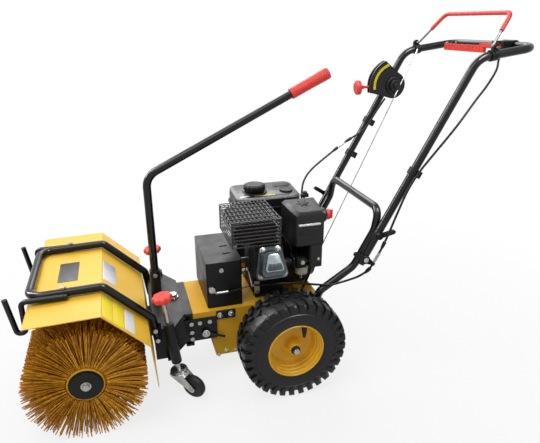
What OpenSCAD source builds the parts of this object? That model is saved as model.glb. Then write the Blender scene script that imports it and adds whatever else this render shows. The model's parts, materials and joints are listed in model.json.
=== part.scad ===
// Walk-behind power brush sweeper: an engine on a two-wheeled chassis drives a round brush
// under a bent hood. The brush head swivels and rolls on two casters.
// Forward is -X, the machine's left is -Y, up is +Z. The wheel axle lies over the origin.

/* [Wheels] */
// Outer diameter of the drive tyres
tyre_od = 330; // [300:1:360]
// Width of a drive tyre
tyre_w = 105; // [95:1:108]
// Distance between the outer sidewalls of the two tyres
track_outer = 600; // [596:1:660]
// Diameter of the rim's flange
rim_d = 178; // [160:1:190]
// Lugs in each row of the tread
lug_count = 18; // [12:1:22]
// Height of the tread lugs
lug_h = 11; // [6:0.5:14]
// Diameter of the drive axle
axle_d = 20; // [16:1:22]

/* [Chassis] */
// Width of the chassis across its side plates
chassis_w = 224; // [210:1:230]
// Height of the chassis top plate above the ground
deck_z = 235; // [230:1:235]
// Height of the chassis bottom above the ground
keel_z = 66; // [55:1:75]
// Front edge of the deck ahead of the axle
deck_front = 282; // [276:1:284]
// Rear edge of the deck behind the axle
deck_rear = 130; // [126:1:140]
// Sheet thickness of the chassis
chassis_t = 4; // [3:0.5:5]

/* [Brush] */
// Diameter of the brush over its bristles
brush_d = 334; // [300:1:334]
// Length of the brush over both halves
brush_l = 568; // [540:1:572]
// Gap between the head's front and the bristles
brush_clear = 32; // [30:1:34]
// Height of the brush axis
brush_z = 168; // [168:0.5:172]
// Diameter of the brush shaft
brush_shaft_d = 25; // [20:1:28]
// Diameter of the core that holds the bristles
core_d = 116; // [100:1:124]
// Tufts round one ring of a brush half
tuft_round = 24; // [16:1:24]
// Rings of tufts along one brush half
tuft_along = 8; // [5:1:8]

/* [Hood] */
// Width of the hood
hood_w = 600; // [596:1:640]
// Sheet thickness of the hood
hood_t = 2.5; // [2:0.5:4]
// Height of the hood's ridge
hood_ridge_z = 382; // [378:1:390]
// Diameter of the guard frame's tube
rail_d = 24; // [20:1:26]
// Distance between the guard frame's rails, centre to centre
rail_gauge = 318.4; // [316:0.2:322]
// Diameter of the front hooks' rod
hook_d = 15; // [12:0.5:18]

/* [Head] */
// Distance of the swivel pivot ahead of the wheel axle
pivot_x = 332; // [330:1:334]
// Diameter of the two pivot bolts
pivot_d = 16; // [12:1:20]
// Height of the head's top plate
head_top_z = 243; // [241:1:245]
// Height of the head's bottom plate
head_bottom_z = 112; // [108:1:114]
// Plate thickness of the head
head_t = 6; // [4:0.5:6]
// Diameter of the swivel lever's tube
lever_d = 25; // [22:1:26]
// Rise of the swivel lever's upper run, degrees
lever_rise = 26.3; // [20:0.1:32]
// Lean of the caster tubes, degrees
caster_lean = 7; // [0:0.5:8]
// Diameter of the caster wheels
caster_d = 76; // [70:1:78]

/* [Engine] */
// Height of the crankshaft above the deck
crank_h = 110; // [104:1:114]
// Lean of the cylinder above the level, degrees
cylinder_lean = 20; // [16:1:25]
// Length of the belt cover, front to back
cover_l = 116; // [110:1:117]
// Width of the belt cover
cover_w = 240; // [220:1:244]
// Height of the belt cover above the deck
cover_h = 158; // [150:1:165]
// Length of the fuel tank, front to back
tank_l = 230; // [200:1:236]
// Width of the fuel tank
tank_w = 150; // [140:1:155]

/* [Handle] */
// Diameter of the handle tubes
handle_d = 25; // [22:1:25]
// Distance between the upper handle's side tubes, centre to centre
grip_gauge = 412; // [412:1:420]
// Slope of the handle, degrees
handle_slope = 61.3; // [58:0.1:64]
// Diameter of the clutch bail's rod
bail_d = 8; // [6:0.5:9]

/* [Hidden] */
$fn = 48;

// Clearances, the overrun of cuts, and how bends lap over straight runs
over = 1;
gap = 0.3;
fit = 0.05;
bend_lip = 0.05;
bend_lap = 0.6;

// Colours
yellow = [0.98, 0.74, 0.13];
black = [0.08, 0.08, 0.09];
dark = [0.2, 0.2, 0.22];
zinc = [0.75, 0.76, 0.78];
red = [0.85, 0.2, 0.16];
tan_bristle = [0.78, 0.55, 0.16];
cast_grey = [0.66, 0.69, 0.72];

// Wheels
axle_z = tyre_od / 2;
wheel_y = track_outer / 2 - tyre_w / 2;
bead_r = rim_d / 2 - 8;
tyre_wall = 10;
tyre_round = 26;
lug_w = 17;
lug_len_share = 0.58;
lug_skew = 24;
lug_sink = 6;
rim_t = 3;
rim_lip = 10;
rim_w = tyre_w - 6;
rim_hub_d = 38;
rim_hub_inset = 7;
rim_disc_share = 0.5;
rim_disc_dish = 14;
hub_washer_d = 28;
hub_washer_t = 3;
hub_bolt_d = 20;
hub_bolt_h = 8;
valve_d = 9;
valve_h = 24;
valve_angle = 62;

// Chassis
side_y = chassis_w / 2;
prow_z = 200;
chin_x = 225;
chin_z = 140;
keel_front = 213;
keel_rear = 70;
stern_z = 150;
belt_slot_l = 40;
belt_slot_w = 150;
foot_l = 60;
foot_w = 382;
foot_z = 255;
foot_t = 6;
foot_leg_w = 200;
gearcase_r = 58;
gearcase_w = 64;
gearcase_nose_r = 30;
gearcase_nose_l = 74;
gearcase_depth = 32;
bearing_r = 30;
bearing_t = 8;

// Drive line
shaft_z = brush_z - 1;
pto_d = 20;
belt_x = 190;
belt_w = 10;
belt_t = 8;
groove = 9;
pulley_w = 20;
crank_pulley_r = 42;
driven_pulley_r = 62;
pulley_hub_r = 20;
ball_r = 14;
cup_r = 21;
cup_l = 40;
cup_mouth = 6;
worm_d = 18;
worm_neck_d = 14;
crank_z = deck_z + crank_h;
crank_reach = 146;
crank_seat = 24;

// Hitch
hitch_t = 5.5;
hitch_front = 328;
hitch_rear = 207;
hitch_top = 216;
hitch_bottom = 138;
hitch_chamfer = 20;
tongue_t = 8;
tongue_w = 90;
tongue_end = 26;
yoke_t = 6;
yoke_hole_r = 26;
tongue_top_z = head_top_z - head_t - gap;
tongue_low_z = head_bottom_z + head_t + gap;
lock_x = 245;
lock_z = 165;
lock_rod_d = 8;
lock_rod_l = 66;
lock_hub_d = 26;
lock_hub_t = 9;
lock_lean = 22;
bolt_d = 8;
bolt_head_d = 15;
bolt_head_h = 6;
pivot_head_d = 30;
pivot_head_h = 10;
pivot_washer_d = 38;
pivot_washer_t = 3;

// Head
rail_y = rail_gauge / 2;
head_side_y = rail_y - rail_d / 2 - gap;
head_side_t = 6;
head_front = 406;
head_front_t = 6;
head_wing_x = 385;
head_wing_y = 182;
head_tip_x = 353;
head_tip_y = 192;
head_waist_x = 308;
head_waist_y = 118;
head_tail_x = 318;
head_heel_x = 300;
head_heel_z = 166;
head_toe_x = 353;
neck_hole_r = 22;
stub_x = 382;
stub_d = 34;
stub_h = 110;
stub_bolt_h = 97;
caster_top_x = 374;
caster_top_z = 328;
caster_y = 180;
caster_tube_d = 32;
caster_tube_top = 258;
caster_tube_low = 118;
gusset_t = 6;
stem_d = 16;
knob_d = 60;
knob_h = 26;
knob_lobe_d = 17;
knob_lobes = 8;
caster_w = 24;
caster_trail = 46;
caster_turn = -42;
caster_pin_d = 8;
caster_crown = 9;
fork_t = 3;
fork_gap = 1;
fork_head_r = 19;
fork_head_h = 12;
fork_foot_r = 9;
fork_root_w = 34;
lever_bottom_z = 250;
lever_bend_z = 662;
lever_bend_r = 55;
lever_run = 640;
lever_wall = 2.5;
grip_l = 131;
grip_wall = 4.5;
grip_flare = 1.5;

// Hood outline, front edge to flap edge, as distances ahead and heights
brush_x = head_front + brush_clear + brush_d / 2;
hood_ahead = 129;
ridge_back = 63;
knee_gap = 16;
flap_gap = 5;
hook_back = 25;
hook_ahead = 15;
bolt_ahead = 35;
hood_front = brush_x + hood_ahead;
hood_front_z = hood_ridge_z - 5;
hood_ridge = brush_x - ridge_back;
hood_knee = head_front + knee_gap;
hood_knee_z = 265;
hood_flap = head_front + flap_gap;
hood_flap_z = 128;
hood_notch_w = 116;
hood_notch_z = 232;
hood_path = [
    [-hood_front, hood_front_z], [-hood_ridge, hood_ridge_z], [-hood_knee, hood_knee_z],
    [-hood_flap, hood_flap_z]
];
rail_wall = 2;
rail_bend = 20;
rail_nose_bend = 38;
rail_off = rail_d / 2 + gap + rail_bend / 10;
rail_foot_z = 185;
rail_nose = hood_front - 1;
weld = 1;
weld_l = 60;
weld_h = 7;
hook_y = rail_y + rail_d / 2 + hook_d / 2 + weld;
hook_start = brush_x + hook_back;
hook_drop_x = hood_front + hook_ahead;
hook_low_z = 298;
hook_mouth = 22;
hook_tip_lean = 16;
hook_tip_rise = 107;
hook_bend = 10.8;
hook_top_bend = 14;
guard_bolt_x = brush_x + bolt_ahead;
foot_bolt_up = 14;
foot_bolt_pitch = 34;

// Gearbox and brush
gearbox_r = 46;
gearbox_w = 68;
gearbox_neck_r = 28;
gearbox_flange_r = 50;
gearbox_flange_t = 8;
worm_end = 28;
brush_gap = 3;
core_bore = 0.3;
tuft_base_share = 0.62;
tuft_tip_w = 11;
tuft_lean = 3.2;
end_disc_d = 84;
end_disc_t = 6;
end_rim_d = 92;
end_rim_t = 3;

// Engine
block_front = 66;
block_rear = 40;
block_y0 = -56;
block_y1 = 90;
block_h = 165;
block_round = 22;
base_flange = 12;
base_t = 10;
jug_x = -40;
jug_w = 96;
jug_h = 104;
jug_start = 50;
fin_first = 92;
fin_pitch = 11;
fin_count = 7;
fin_t = 4;
fin_reach = 8;
head_face = 172;
valve_h0 = 12;
valve_h1 = 40;
valve_w = 100;
valve_hh = 99;
valve_top_share = 0.62;
valve_round = 14;
guard_x0 = -158;
guard_x1 = -3;
guard_y0 = -150;
guard_y1 = 34;
guard_z0 = 458;
guard_z1 = 542;
guard_bar = 3;
guard_top_bars = 13;
guard_side_bars = 8;
guard_edge = 5;
muffler_inset = 9;
muffler_round = 30;
muffler_pipe_d = 34;
air_x0 = 50;
air_far = 27;
air_x1 = 136;
air_y0 = -150;
air_y1 = -58;
air_z0 = 361;
air_z1 = 542;
air_crown = 15;
air_round = 10;
air_groove_z = 508;
air_groove_h = 14;
air_groove_d = 5;
air_foot_z = 470;
air_foot_in = 6;
star_d = 34;
star_arm_w = 9;
star_h = 7;
star_arms = 6;
switch_d = 44;
switch_l = 24;
switch_y = -104;
switch_z = 520;
stop_d = 34;
stop_l = 12;
stop_pin_d = 10;
stop_pin_l = 14;
carb_x = 62;
carb_y = -119;
carb_z = 318;
carb_bowl_d = 40;
carb_bowl_h = 26;
carb_body_w = 46;
carb_body_h = 44;
carb_pipe_d = 30;
tank_x0 = -95;
tank_y0 = 42;
tank_z0 = 470;
tank_z1 = 538;
tank_round = 34;
tank_seam = 5;
tank_seam_h = 6;
tank_crown = 5;
tank_crown_in = 22;
tank_post_w = 40;
neck_x = -15;
neck_y = 118;
neck_d = 88;
neck_h = 3;
neck_bore_d = 46;
neck_bore_h = 26;
cap_d = 76;
cap_h = 28;
cap_plug_d = 45.8;
cap_plug_h = 20;
cap_ribs = 24;
cap_rib_d = 5;
gauge_x = 78;
gauge_y = 92;
gauge_d = 46;
gauge_depth = 5;
fan_r = 95;
fan_x1 = 118;
fan_scroll_h = 70;
starter_r = 78;
starter_l = 24;
starter_slots = 12;
starter_slot_w = 7;
starter_slot_share = 0.5;
starter_nose_r = 26;
starter_nose_l = 10;
pull_w = 70;
pull_d = 16;
pull_x = 128;
pull_neck_d = 14;

// Belt cover
cover_y0 = -95;
cover_front = 230;
cover_wall = 2.5;
cover_round = 8;
cover_slot_w = 8;
cover_slot_l = 26;
cover_slot_x = 24;
cover_bolt_z = 132;
cover_bolt_x = 47;
arm_x = 216;
arm_z = 305;
arm_rod_d = 9;
arm_boss_d = 20;
arm_boss_h = 12;
arm_drop = 14;
arm_reach = 38;
arm_pin_d = 10;

// Handle line: the fold bolt lies on it, and the clamp, the bend and the grip follow
fold_x = 253;
fold_z = 400;
clamp_up = 86;
handle_tail = 22;
handle_wall = 2;
handle_bend_up = 679;
handle_bend_r = 70;
grip_run_x = 199;
grip_run_z = 27;
grip_corner_r = 46;
grip_y = grip_gauge / 2;
leg_y = grip_y - handle_d - 1;
leg_foot_x = 112;
leg_knee_z = 286;
leg_bow_x = 232.5;
leg_bow_z = 362.7;
leg_top_x = 308;
leg_top_z = 549;
leg_top_from = 92;
leg_bend_r = 34;
leg_bow_r = 66;
fold_d = 10;
fold_head_d = 18;
fold_head_h = 7;
cam_d = 8;
cam_l = 46;
cam_w = 14;
cam_t = 9;
cam_hub_d = 22;
cam_left_turn = 12;
cam_right_turn = 213;
clip_along = 306;
clip_right = [268, 402];
clip_l = 22;
clip_wall = 4;
clip_lug = 14;
bail_along = 47;
bail_rise = 22;
bail_ear_t = 8;
bail_ear_r = 10;
bail_ear_l = 20;
bail_top_x = 79;
bail_top_z = 95;
bail_top_y = 165;
bail_bend_r = 24;
bail_foot_r = 12;
bail_tail = 10;
bail_shoulder = 4;
bail_grip_d = 13;
bail_grip_share = 0.52;

// Throttle console on the right tube
console_x = 520;
console_z = 881;
console_r = 92;
console_hub_r = 46;
console_y0 = 166;
console_t = 24;
console_slot = 11;
console_from = 112;
console_to = 196;
console_wall = 4;
console_flank_share = 0.97;
console_clamp_l = 46;
console_pin_d = 12;
throttle_rest = 182;
throttle_rod_d = 9;
throttle_hub_d = 28;
throttle_knob_r = 134;
throttle_knob_d = 50;
throttle_knob_t = 20;
throttle_neck = 28;

// Clutch lever by the rear crossbar
crossbar_x = fold_x + handle_bend_up * cos(handle_slope) + grip_run_x;
crossbar_z = fold_z + handle_bend_up * sin(handle_slope) + grip_run_z;
housing_y0 = -116;
housing_y1 = -62;
housing_wall = 5;
housing_reach = 46;
housing_h = 30;
clutch_pivot_y = -92;
clutch_pivot_back = 36;
clutch_pin_d = 8;
clutch_hub_d = 22;
clutch_t = 12;
clutch_grip_back = 55;
clutch_grip_from = -44;
clutch_grip_to = 174;
clutch_drop = 12;
clutch_grip_w = 15;
clutch_grip_h = 22;
clutch_ridges = 12;
clutch_ridge_d = 3;

// Cable routes, round numbers chosen along the tubes that carry them
cable_d = 7;
wire_d = 3;
cable_sides = 8;
clutch_route = [
    [745, -98, 1003], [735, -102, 980], [709, -130, 952], [653, -168, 912], [590, -200, 868],
    [520, -222, 800], [440, -226, 710], [412, -226, 676], [375, -228, 620], [340, -234, 545],
    [316, -239, 490], [300, -239, 452], [282, -237, 412], [262, -231, 372], [238, -216, 344],
    [212, -204, 329], [180, -200, 321], [145, -197, 316], [105, -172, 311], [60, -140, 306],
    [10, -126, 306], [-60, -118, 307], [-84, -112, 306], [-120, -108, 299], [-160, -104, 291]
];
throttle_route = [
    [500, 184, 833], [470, 185, 790], [440, 184, 745], [414, 186, 716], [385, 186, 700],
    [340, 182, 677], [288, 170, 648], [208, 148, 600], [172, 130, 565], [158, 112, 530],
    [152, 96, 480], [148, 84, 430], [138, 79, 406], [126, 78, 400], [118.4, 78, 400]
];
function unit(v) = v / norm(v);
function backwards(l) = [for (i = [len(l) - 1:-1:0]) l[i]];
function flip_y(l) = [for (p = l) [p[0], -p[1], p[2]]];
function turned_left(v) = [-v[1], v[0]];
function pick(v, i) = is_list(v) ? v[i] : v;

// Handle line point at a distance up from the fold bolt
function handle_point(s, y) = [fold_x + s * cos(handle_slope), y, fold_z + s * sin(handle_slope)];

// A path moved sideways by d, with mitred corners
function shifted(path, d) = [
    for (i = [0:len(path) - 1])
        let (a = turned_left(unit(path[max(i, 1)] - path[max(i, 1) - 1])))
        let (j = min(i + 1, len(path) - 1))
        let (b = turned_left(unit(path[j] - path[j - 1])))
        path[i] + (a + b) / (1 + a * b) * d
];

module from_to(a, b) {
    d = b - a;
    translate(a) rotate([0, acos(d[2] / norm(d)), atan2(d[1], d[0])]) children();
}

module rod(a, b, r) {
    from_to(a, b) cylinder(h = norm(b - a), r = r);
}

module tube_ring(r, wall) {
    difference() {
        circle(r);
        if (wall > 0) circle(r - wall);
    }
}

module tube_run(a, b, r, wall) {
    from_to(a, b) linear_extrude(norm(b - a)) tube_ring(r, wall);
}

module tube_elbow(p, u, v, r, wall, bend) {
    turn = acos(u * v);
    n = unit(cross(u, v));
    c = p + unit(v - u) * bend / cos(turn / 2);
    s = unit(p - u * bend * tan(turn / 2) - c);
    t = cross(n, s);
    multmatrix([
        [s[0], t[0], n[0], c[0]], [s[1], t[1], n[1], c[1]], [s[2], t[2], n[2], c[2]], [0, 0, 0, 1]
    ])
        rotate_extrude(angle = turn) translate([bend, 0])
        tube_ring(r + bend_lip, wall > 0 ? wall + 2 * bend_lip : 0);
}

// A tube bent along a list of corner points; wall 0 makes a solid rod
module bent_tube(points, r, bend, wall = 0) {
    last = len(points) - 1;
    dirs = [for (i = [0:last - 1]) unit(points[i + 1] - points[i])];
    cut = [
        for (i = [0:last])
            i == 0 || i == last ? 0 : pick(bend, i - 1) * tan(acos(dirs[i - 1] * dirs[i]) / 2)
    ];
    for (i = [0:last - 1]) {
        a = points[i] + dirs[i] * (cut[i] - (i > 0 ? bend_lap : 0));
        b = points[i + 1] - dirs[i] * (cut[i + 1] - (i < last - 1 ? bend_lap : 0));
        tube_run(a, b, r, wall);
        if (i > 0) tube_elbow(points[i], dirs[i - 1], dirs[i], r, wall, pick(bend, i - 1));
    }
}

module bent_sheet(path, t, w) {
    rotate([90, 0, 0]) linear_extrude(w, center = true)
        polygon(concat(path, backwards(shifted(path, -t))));
}

module along_y(x, z, y0, y1, r) {
    translate([x, y0, z]) rotate([-90, 0, 0]) cylinder(h = y1 - y0, r = r);
}

module along_x(y, z, x0, x1, r) {
    translate([x0, y, z]) rotate([0, 90, 0]) cylinder(h = x1 - x0, r = r);
}

module box(x0, x1, y0, y1, z0, z1) {
    translate([x0, y0, z0]) cube([x1 - x0, y1 - y0, z1 - z0]);
}

module round_rect(w, h, r) {
    square([w, h - 2 * r], center = true);
    square([w - 2 * r, h], center = true);
    for (i = [-1, 1], j = [-1, 1]) translate([i * (w / 2 - r), j * (h / 2 - r)]) circle(r);
}

// A box with its upright edges rounded
module round_box(x0, x1, y0, y1, z0, z1, r) {
    translate([(x0 + x1) / 2, (y0 + y1) / 2, z0]) linear_extrude(z1 - z0)
        round_rect(x1 - x0, y1 - y0, r);
}

// A plate on edge: outline in X and Z, t thick from y outwards
module side_plate(outline, y, t) {
    translate([0, y + t, 0]) rotate([90, 0, 0]) linear_extrude(t) polygon(outline);
}

module hex_head(d, h) {
    cylinder(h = h, d = d, $fn = 6);
}

// A bolt from a to b with its head beyond b, and a nut beyond a
module bolt(a, b, d, head_d, head_h, nut = true) {
    rod(a, b, d / 2);
    from_to(b, 2 * b - a) hex_head(head_d, head_h);
    if (nut) from_to(a, 2 * a - b) hex_head(head_d, head_h);
}

// One swept tube along route points, on a smooth curve
function curve_at(p, i, t) =
    let (a = p[max(i - 1, 0)], b = p[i], c = p[i + 1], d = p[min(i + 2, len(p) - 1)])
    0.5 * (2 * b + (c - a) * t + (2 * a - 5 * b + 4 * c - d) * t ^ 2 + (3 * b - a - 3 * c + d) * t ^ 3);
function smooth_route(p, n) = concat(
    [for (i = [0:len(p) - 2], k = [0:n - 1]) curve_at(p, i, k / n)], [p[len(p) - 1]]);

module cable(route, d, per) {
    path = smooth_route(route, per);
    last = len(path) - 1;
    n = cable_sides;
    rings = [
        for (i = [0:last])
            let (t = unit(path[min(i + 1, last)] - path[max(i - 1, 0)]))
            let (s = unit(cross(t, [0, 1, 0])), u = cross(s, t))
            for (k = [0:n - 1]) path[i] + d / 2 * (cos(360 * k / n) * s + sin(360 * k / n) * u)
    ];
    walls = [
        for (i = [0:last - 1], k = [0:n - 1])
            let (a = i * n + k, b = i * n + (k + 1) % n)
            for (f = [[a, b, b + n], [a, b + n, a + n]]) f
    ];
    caps = concat(
        [for (k = [1:n - 2]) [0, k + 1, k]],
        [for (k = [1:n - 2]) [last * n, last * n + k, last * n + k + 1]]);
    polyhedron(rings, concat(walls, caps));
}

module chassis() {
    side = [
        [-deck_front, deck_z], [-deck_front, prow_z], [-chin_x, chin_z], [-keel_front, keel_z],
        [keel_rear, keel_z], [deck_rear, stern_z], [deck_rear, deck_z]
    ];
    color(yellow) difference() {
        union() {
            side_plate(side, -side_y, chassis_t);
            side_plate(side, side_y - chassis_t, chassis_t);
            box(-deck_front, deck_rear, -side_y, side_y, deck_z - chassis_t, deck_z);
            box(-keel_front, keel_rear, -side_y, side_y, keel_z, keel_z + chassis_t);
            box(deck_rear - chassis_t, deck_rear, -side_y, side_y, stern_z, deck_z);
            box(deck_rear - foot_l, deck_rear, -foot_w / 2, foot_w / 2, foot_z - foot_t, foot_z);
            for (y = [-foot_leg_w / 2, foot_leg_w / 2 - foot_t])
                box(deck_rear - foot_l, deck_rear, y, y + foot_t, deck_z, foot_z);
        }
        along_y(0, axle_z, -side_y - over, side_y + over, axle_d / 2 + fit);
        box(-belt_x - belt_slot_l / 2, -belt_x + belt_slot_l / 2, -belt_slot_w / 2, belt_slot_w / 2,
            deck_z - chassis_t - over, deck_z + over);
        along_y(-lock_x, lock_z, -side_y - over, side_y + over, bolt_d / 2 + fit);
    }
}

module axle_gearbox() {
    color(dark) difference() {
        union() {
            along_y(0, axle_z, -gearcase_w / 2, gearcase_w / 2, gearcase_r);
            along_x(0, shaft_z, -gearcase_nose_l, 0, gearcase_nose_r);
            for (y = [-side_y + chassis_t, side_y - chassis_t - bearing_t])
                along_y(0, axle_z, y, y + bearing_t, bearing_r);
            box(-gearcase_r, gearcase_r, -gearcase_w / 2, gearcase_w / 2, keel_z + chassis_t, axle_z);
        }
        along_y(0, axle_z, -side_y, side_y, axle_d / 2 + fit);
        along_x(0, shaft_z, -gearcase_nose_l - over, -gearcase_depth, pto_d / 2 + fit);
    }
}

module hitch() {
    side = [
        [-hitch_front, hitch_top - hitch_chamfer], [-hitch_front + hitch_chamfer, hitch_bottom],
        [-hitch_rear, hitch_bottom], [-hitch_rear, hitch_top], [-hitch_front, hitch_top]
    ];
    color(black) difference() {
        union() {
            side_plate(side, -side_y - hitch_t, hitch_t);
            side_plate(side, side_y, hitch_t);
            box(-deck_front - yoke_t, -deck_front, -side_y, side_y, tongue_low_z, tongue_top_z);
            for (z = [tongue_top_z - tongue_t, tongue_low_z]) {
                box(-pivot_x, -deck_front, -tongue_w / 2, tongue_w / 2, z, z + tongue_t);
                translate([-pivot_x, 0, z]) cylinder(h = tongue_t, r = tongue_w / 2);
                box(-head_waist_x, -deck_front, -side_y, side_y, z, z + tongue_t);
            }
        }
        translate([-pivot_x, 0, tongue_low_z - over])
            cylinder(h = tongue_top_z - tongue_low_z + 2 * over, d = pivot_d + 2 * fit);
        along_x(0, shaft_z, -deck_front - yoke_t - over, -deck_front + over, yoke_hole_r);
        along_y(-lock_x, lock_z, -side_y - hitch_t - over, side_y + hitch_t + over, bolt_d / 2 + fit);
    }
}

// Hitch bolt places, as shares of the plate's length and height
hitch_bolt_shares = [[0.1, 0.72], [0.32, 0.84], [0.32, 0.45], [0.32, 0.14], [0.54, 0.84], [0.8, 0.84]];
function hitch_spot(s) = [
    -hitch_front + s[0] * (hitch_front - hitch_rear), hitch_bottom + s[1] * (hitch_top - hitch_bottom)
];

module frame_bolts() {
    lid = head_top_z + gap;
    lock_y = side_y + hitch_t;
    color(zinc) {
        translate([-pivot_x, 0, lid]) cylinder(h = pivot_washer_t, d = pivot_washer_d);
        bolt([-pivot_x, 0, tongue_top_z - tongue_t], [-pivot_x, 0, lid + pivot_washer_t], pivot_d,
            pivot_head_d, pivot_head_h);
        bolt([-pivot_x, 0, tongue_low_z + tongue_t], [-pivot_x, 0, head_bottom_z - gap], pivot_d,
            pivot_head_d, pivot_head_h);
        for (side = [-1, 1], s = hitch_bolt_shares)
            let (p = hitch_spot(s), y = side * (side_y + hitch_t))
            from_to([p[0], y, p[1]], [p[0], 2 * y, p[1]]) hex_head(bolt_head_d, bolt_head_h);
        along_y(-lock_x, lock_z, -lock_y - gap - lock_hub_t, 2 * bolt_d - side_y, bolt_d / 2);
        bolt([-lock_x, side_y - chassis_t, lock_z], [-lock_x, lock_y, lock_z], bolt_d, bolt_head_d, bolt_head_h);
        for (side = [-1, 1])
            bolt([fold_x, side * (leg_y - handle_d / 2), fold_z], [fold_x, side * (grip_y + handle_d / 2 + gap), fold_z],
                fold_d, fold_head_d, fold_head_h);
        translate([cover_bolt_x - cover_front, cover_y0, deck_z + cover_bolt_z]) rotate([90, 0, 0])
            cylinder(h = bolt_head_h, d = bolt_head_d);
    }
}

module lock_handle() {
    y = -side_y - hitch_t - gap;
    color(black) difference() {
        union() {
            along_y(-lock_x, lock_z, y - lock_hub_t, y, lock_hub_d / 2);
            rod([-lock_x, y - lock_hub_t / 2, lock_z],
                [-lock_x + lock_rod_l * cos(lock_lean), y - lock_hub_t / 2, lock_z - lock_rod_l * sin(lock_lean)],
                lock_rod_d / 2);
        }
        along_y(-lock_x, lock_z, y - lock_hub_t - over, y + over, bolt_d / 2 + fit);
    }
}

module axle() {
    reach = track_outer / 2 - rim_hub_inset;
    color(zinc) {
        along_y(0, axle_z, -reach, reach, axle_d / 2);
        for (side = [-1, 1]) translate([0, side * reach, axle_z]) rotate([-side * 90, 0, 0]) {
            cylinder(h = hub_washer_t, d = hub_washer_d);
            translate([0, 0, hub_washer_t]) hex_head(hub_bolt_d, hub_bolt_h);
        }
    }
}

// The rim's section: radius across, outer side of the wheel up
module rim_section() {
    barrel_r = bead_r - rim_t;
    disc_z = -rim_w / 2 + rim_disc_share * rim_w;
    hub_top = track_outer / 2 - rim_hub_inset - wheel_y;
    translate([barrel_r, -rim_w / 2]) square([rim_t, rim_w]);
    for (z = [-rim_w / 2, rim_w / 2 - rim_t]) translate([barrel_r, z]) square([rim_lip, rim_t]);
    polygon([
        [barrel_r + rim_t / 2, disc_z - rim_disc_dish], [barrel_r + rim_t / 2, disc_z - rim_disc_dish + rim_t],
        [rim_hub_d / 2, disc_z + rim_t], [rim_hub_d / 2 - rim_t, disc_z]
    ]);
    translate([axle_d / 2 + fit, -rim_w / 2])
        square([rim_hub_d / 2 - axle_d / 2 - fit, rim_w / 2 + hub_top]);
}

module on_wheel(side) {
    translate([0, side * wheel_y, axle_z]) rotate([-side * 90, 0, 0]) children();
}

module rim(side) {
    color(yellow) on_wheel(side) union() {
        rotate_extrude($fn = 96) rim_section();
        rotate([0, 0, valve_angle]) translate([bead_r - rim_t - valve_h, 0, 0]) rotate([0, 90, 0])
            cylinder(h = valve_h + rim_t / 2, d = valve_d);
    }
}

module tyre_section() {
    tread_r = tyre_od / 2 - lug_h;
    mid = (tread_r + bead_r) / 2;
    difference() {
        translate([mid, 0]) round_rect(tread_r - bead_r, tyre_w, tyre_round);
        translate([mid, 0])
            round_rect(tread_r - bead_r - 2 * tyre_wall, tyre_w - 2 * tyre_wall, tyre_round - tyre_wall);
        translate([bead_r - over, -tyre_w / 2 + 2 * tyre_wall])
            square([tyre_wall + 2 * over, tyre_w - 4 * tyre_wall]);
    }
}

module lug_band() {
    r0 = tyre_od / 2 - lug_h - lug_sink;
    translate([(r0 + tyre_od / 2) / 2 - tyre_round, 0])
        round_rect(tyre_od / 2 - r0 + 2 * tyre_round, tyre_w, tyre_round);
}

module tyre(side) {
    r0 = tyre_od / 2 - lug_h - lug_sink;
    reach = lug_h + lug_sink + over;
    color(black) on_wheel(side) union() {
        rotate_extrude($fn = 96) tyre_section();
        intersection() {
            rotate_extrude($fn = 96) lug_band();
            for (row = [-1, 1], i = [0:lug_count - 1])
                rotate([0, 0, 360 * (i + (row + 1) / 4) / lug_count])
                    translate([r0 + reach / 2, 0, row * tyre_w * (1 - lug_len_share) / 2])
                    rotate([row * lug_skew, 0, 0])
                    cube([reach, lug_w, tyre_w * lug_len_share], center = true);
        }
    }
}

module pulley_section(r, bore) {
    floor_r = r - groove;
    w = pulley_w / 2;
    v = belt_w / 2 + gap;
    polygon([
        [bore, -w], [r, -w], [r, -v], [floor_r, -v], [floor_r, v], [r, v], [r, w], [bore, w]
    ]);
}

module crank_pulley() {
    color(zinc) translate([-belt_x, 0, crank_z]) rotate([0, 90, 0]) {
        rotate_extrude() pulley_section(crank_pulley_r, 0);
        cylinder(h = crank_reach, d = pto_d);
        translate([0, 0, -pulley_w]) cylinder(h = pulley_w, r = pulley_hub_r);
    }
}

module driven_pulley() {
    color(dark) translate([-belt_x, 0, shaft_z]) rotate([0, 90, 0]) union() {
        rotate_extrude() pulley_section(driven_pulley_r, pto_d / 2 + fit);
        difference() {
            translate([0, 0, pulley_w / 2 - over]) cylinder(h = pulley_w / 2 + over, r = pulley_hub_r);
            translate([0, 0, -pulley_w]) cylinder(h = 3 * pulley_w, d = pto_d + 2 * fit);
        }
    }
}

module belt_loop(extra) {
    hull() {
        translate([0, crank_z]) circle(crank_pulley_r - groove + extra, $fn = 64);
        translate([0, shaft_z]) circle(driven_pulley_r - groove + extra, $fn = 64);
    }
}

module drive_belt() {
    color(black) translate([-belt_x - belt_w / 2, 0, 0]) rotate([90, 0, 90]) linear_extrude(belt_w)
        difference() {
            belt_loop(gap + belt_t);
            belt_loop(gap);
        }
}

module pto_shaft() {
    color(zinc) difference() {
        union() {
            along_x(0, shaft_z, -pivot_x + cup_l / 2, -gearcase_depth - over, pto_d / 2);
            along_x(0, shaft_z, -pivot_x - cup_mouth, -pivot_x + cup_l - cup_mouth, cup_r);
        }
        translate([-pivot_x, 0, shaft_z]) rotate([0, 90, 0]) sphere(ball_r + gap);
    }
}

module worm_shaft() {
    color(zinc) {
        translate([-pivot_x, 0, shaft_z]) rotate([0, 90, 0]) sphere(ball_r);
        along_x(0, shaft_z, -pivot_x - 2 * ball_r, -pivot_x, worm_neck_d / 2);
        along_x(0, shaft_z, -brush_x + brush_shaft_d / 2 + worm_end, -pivot_x - 2 * ball_r, worm_d / 2);
    }
}

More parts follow.
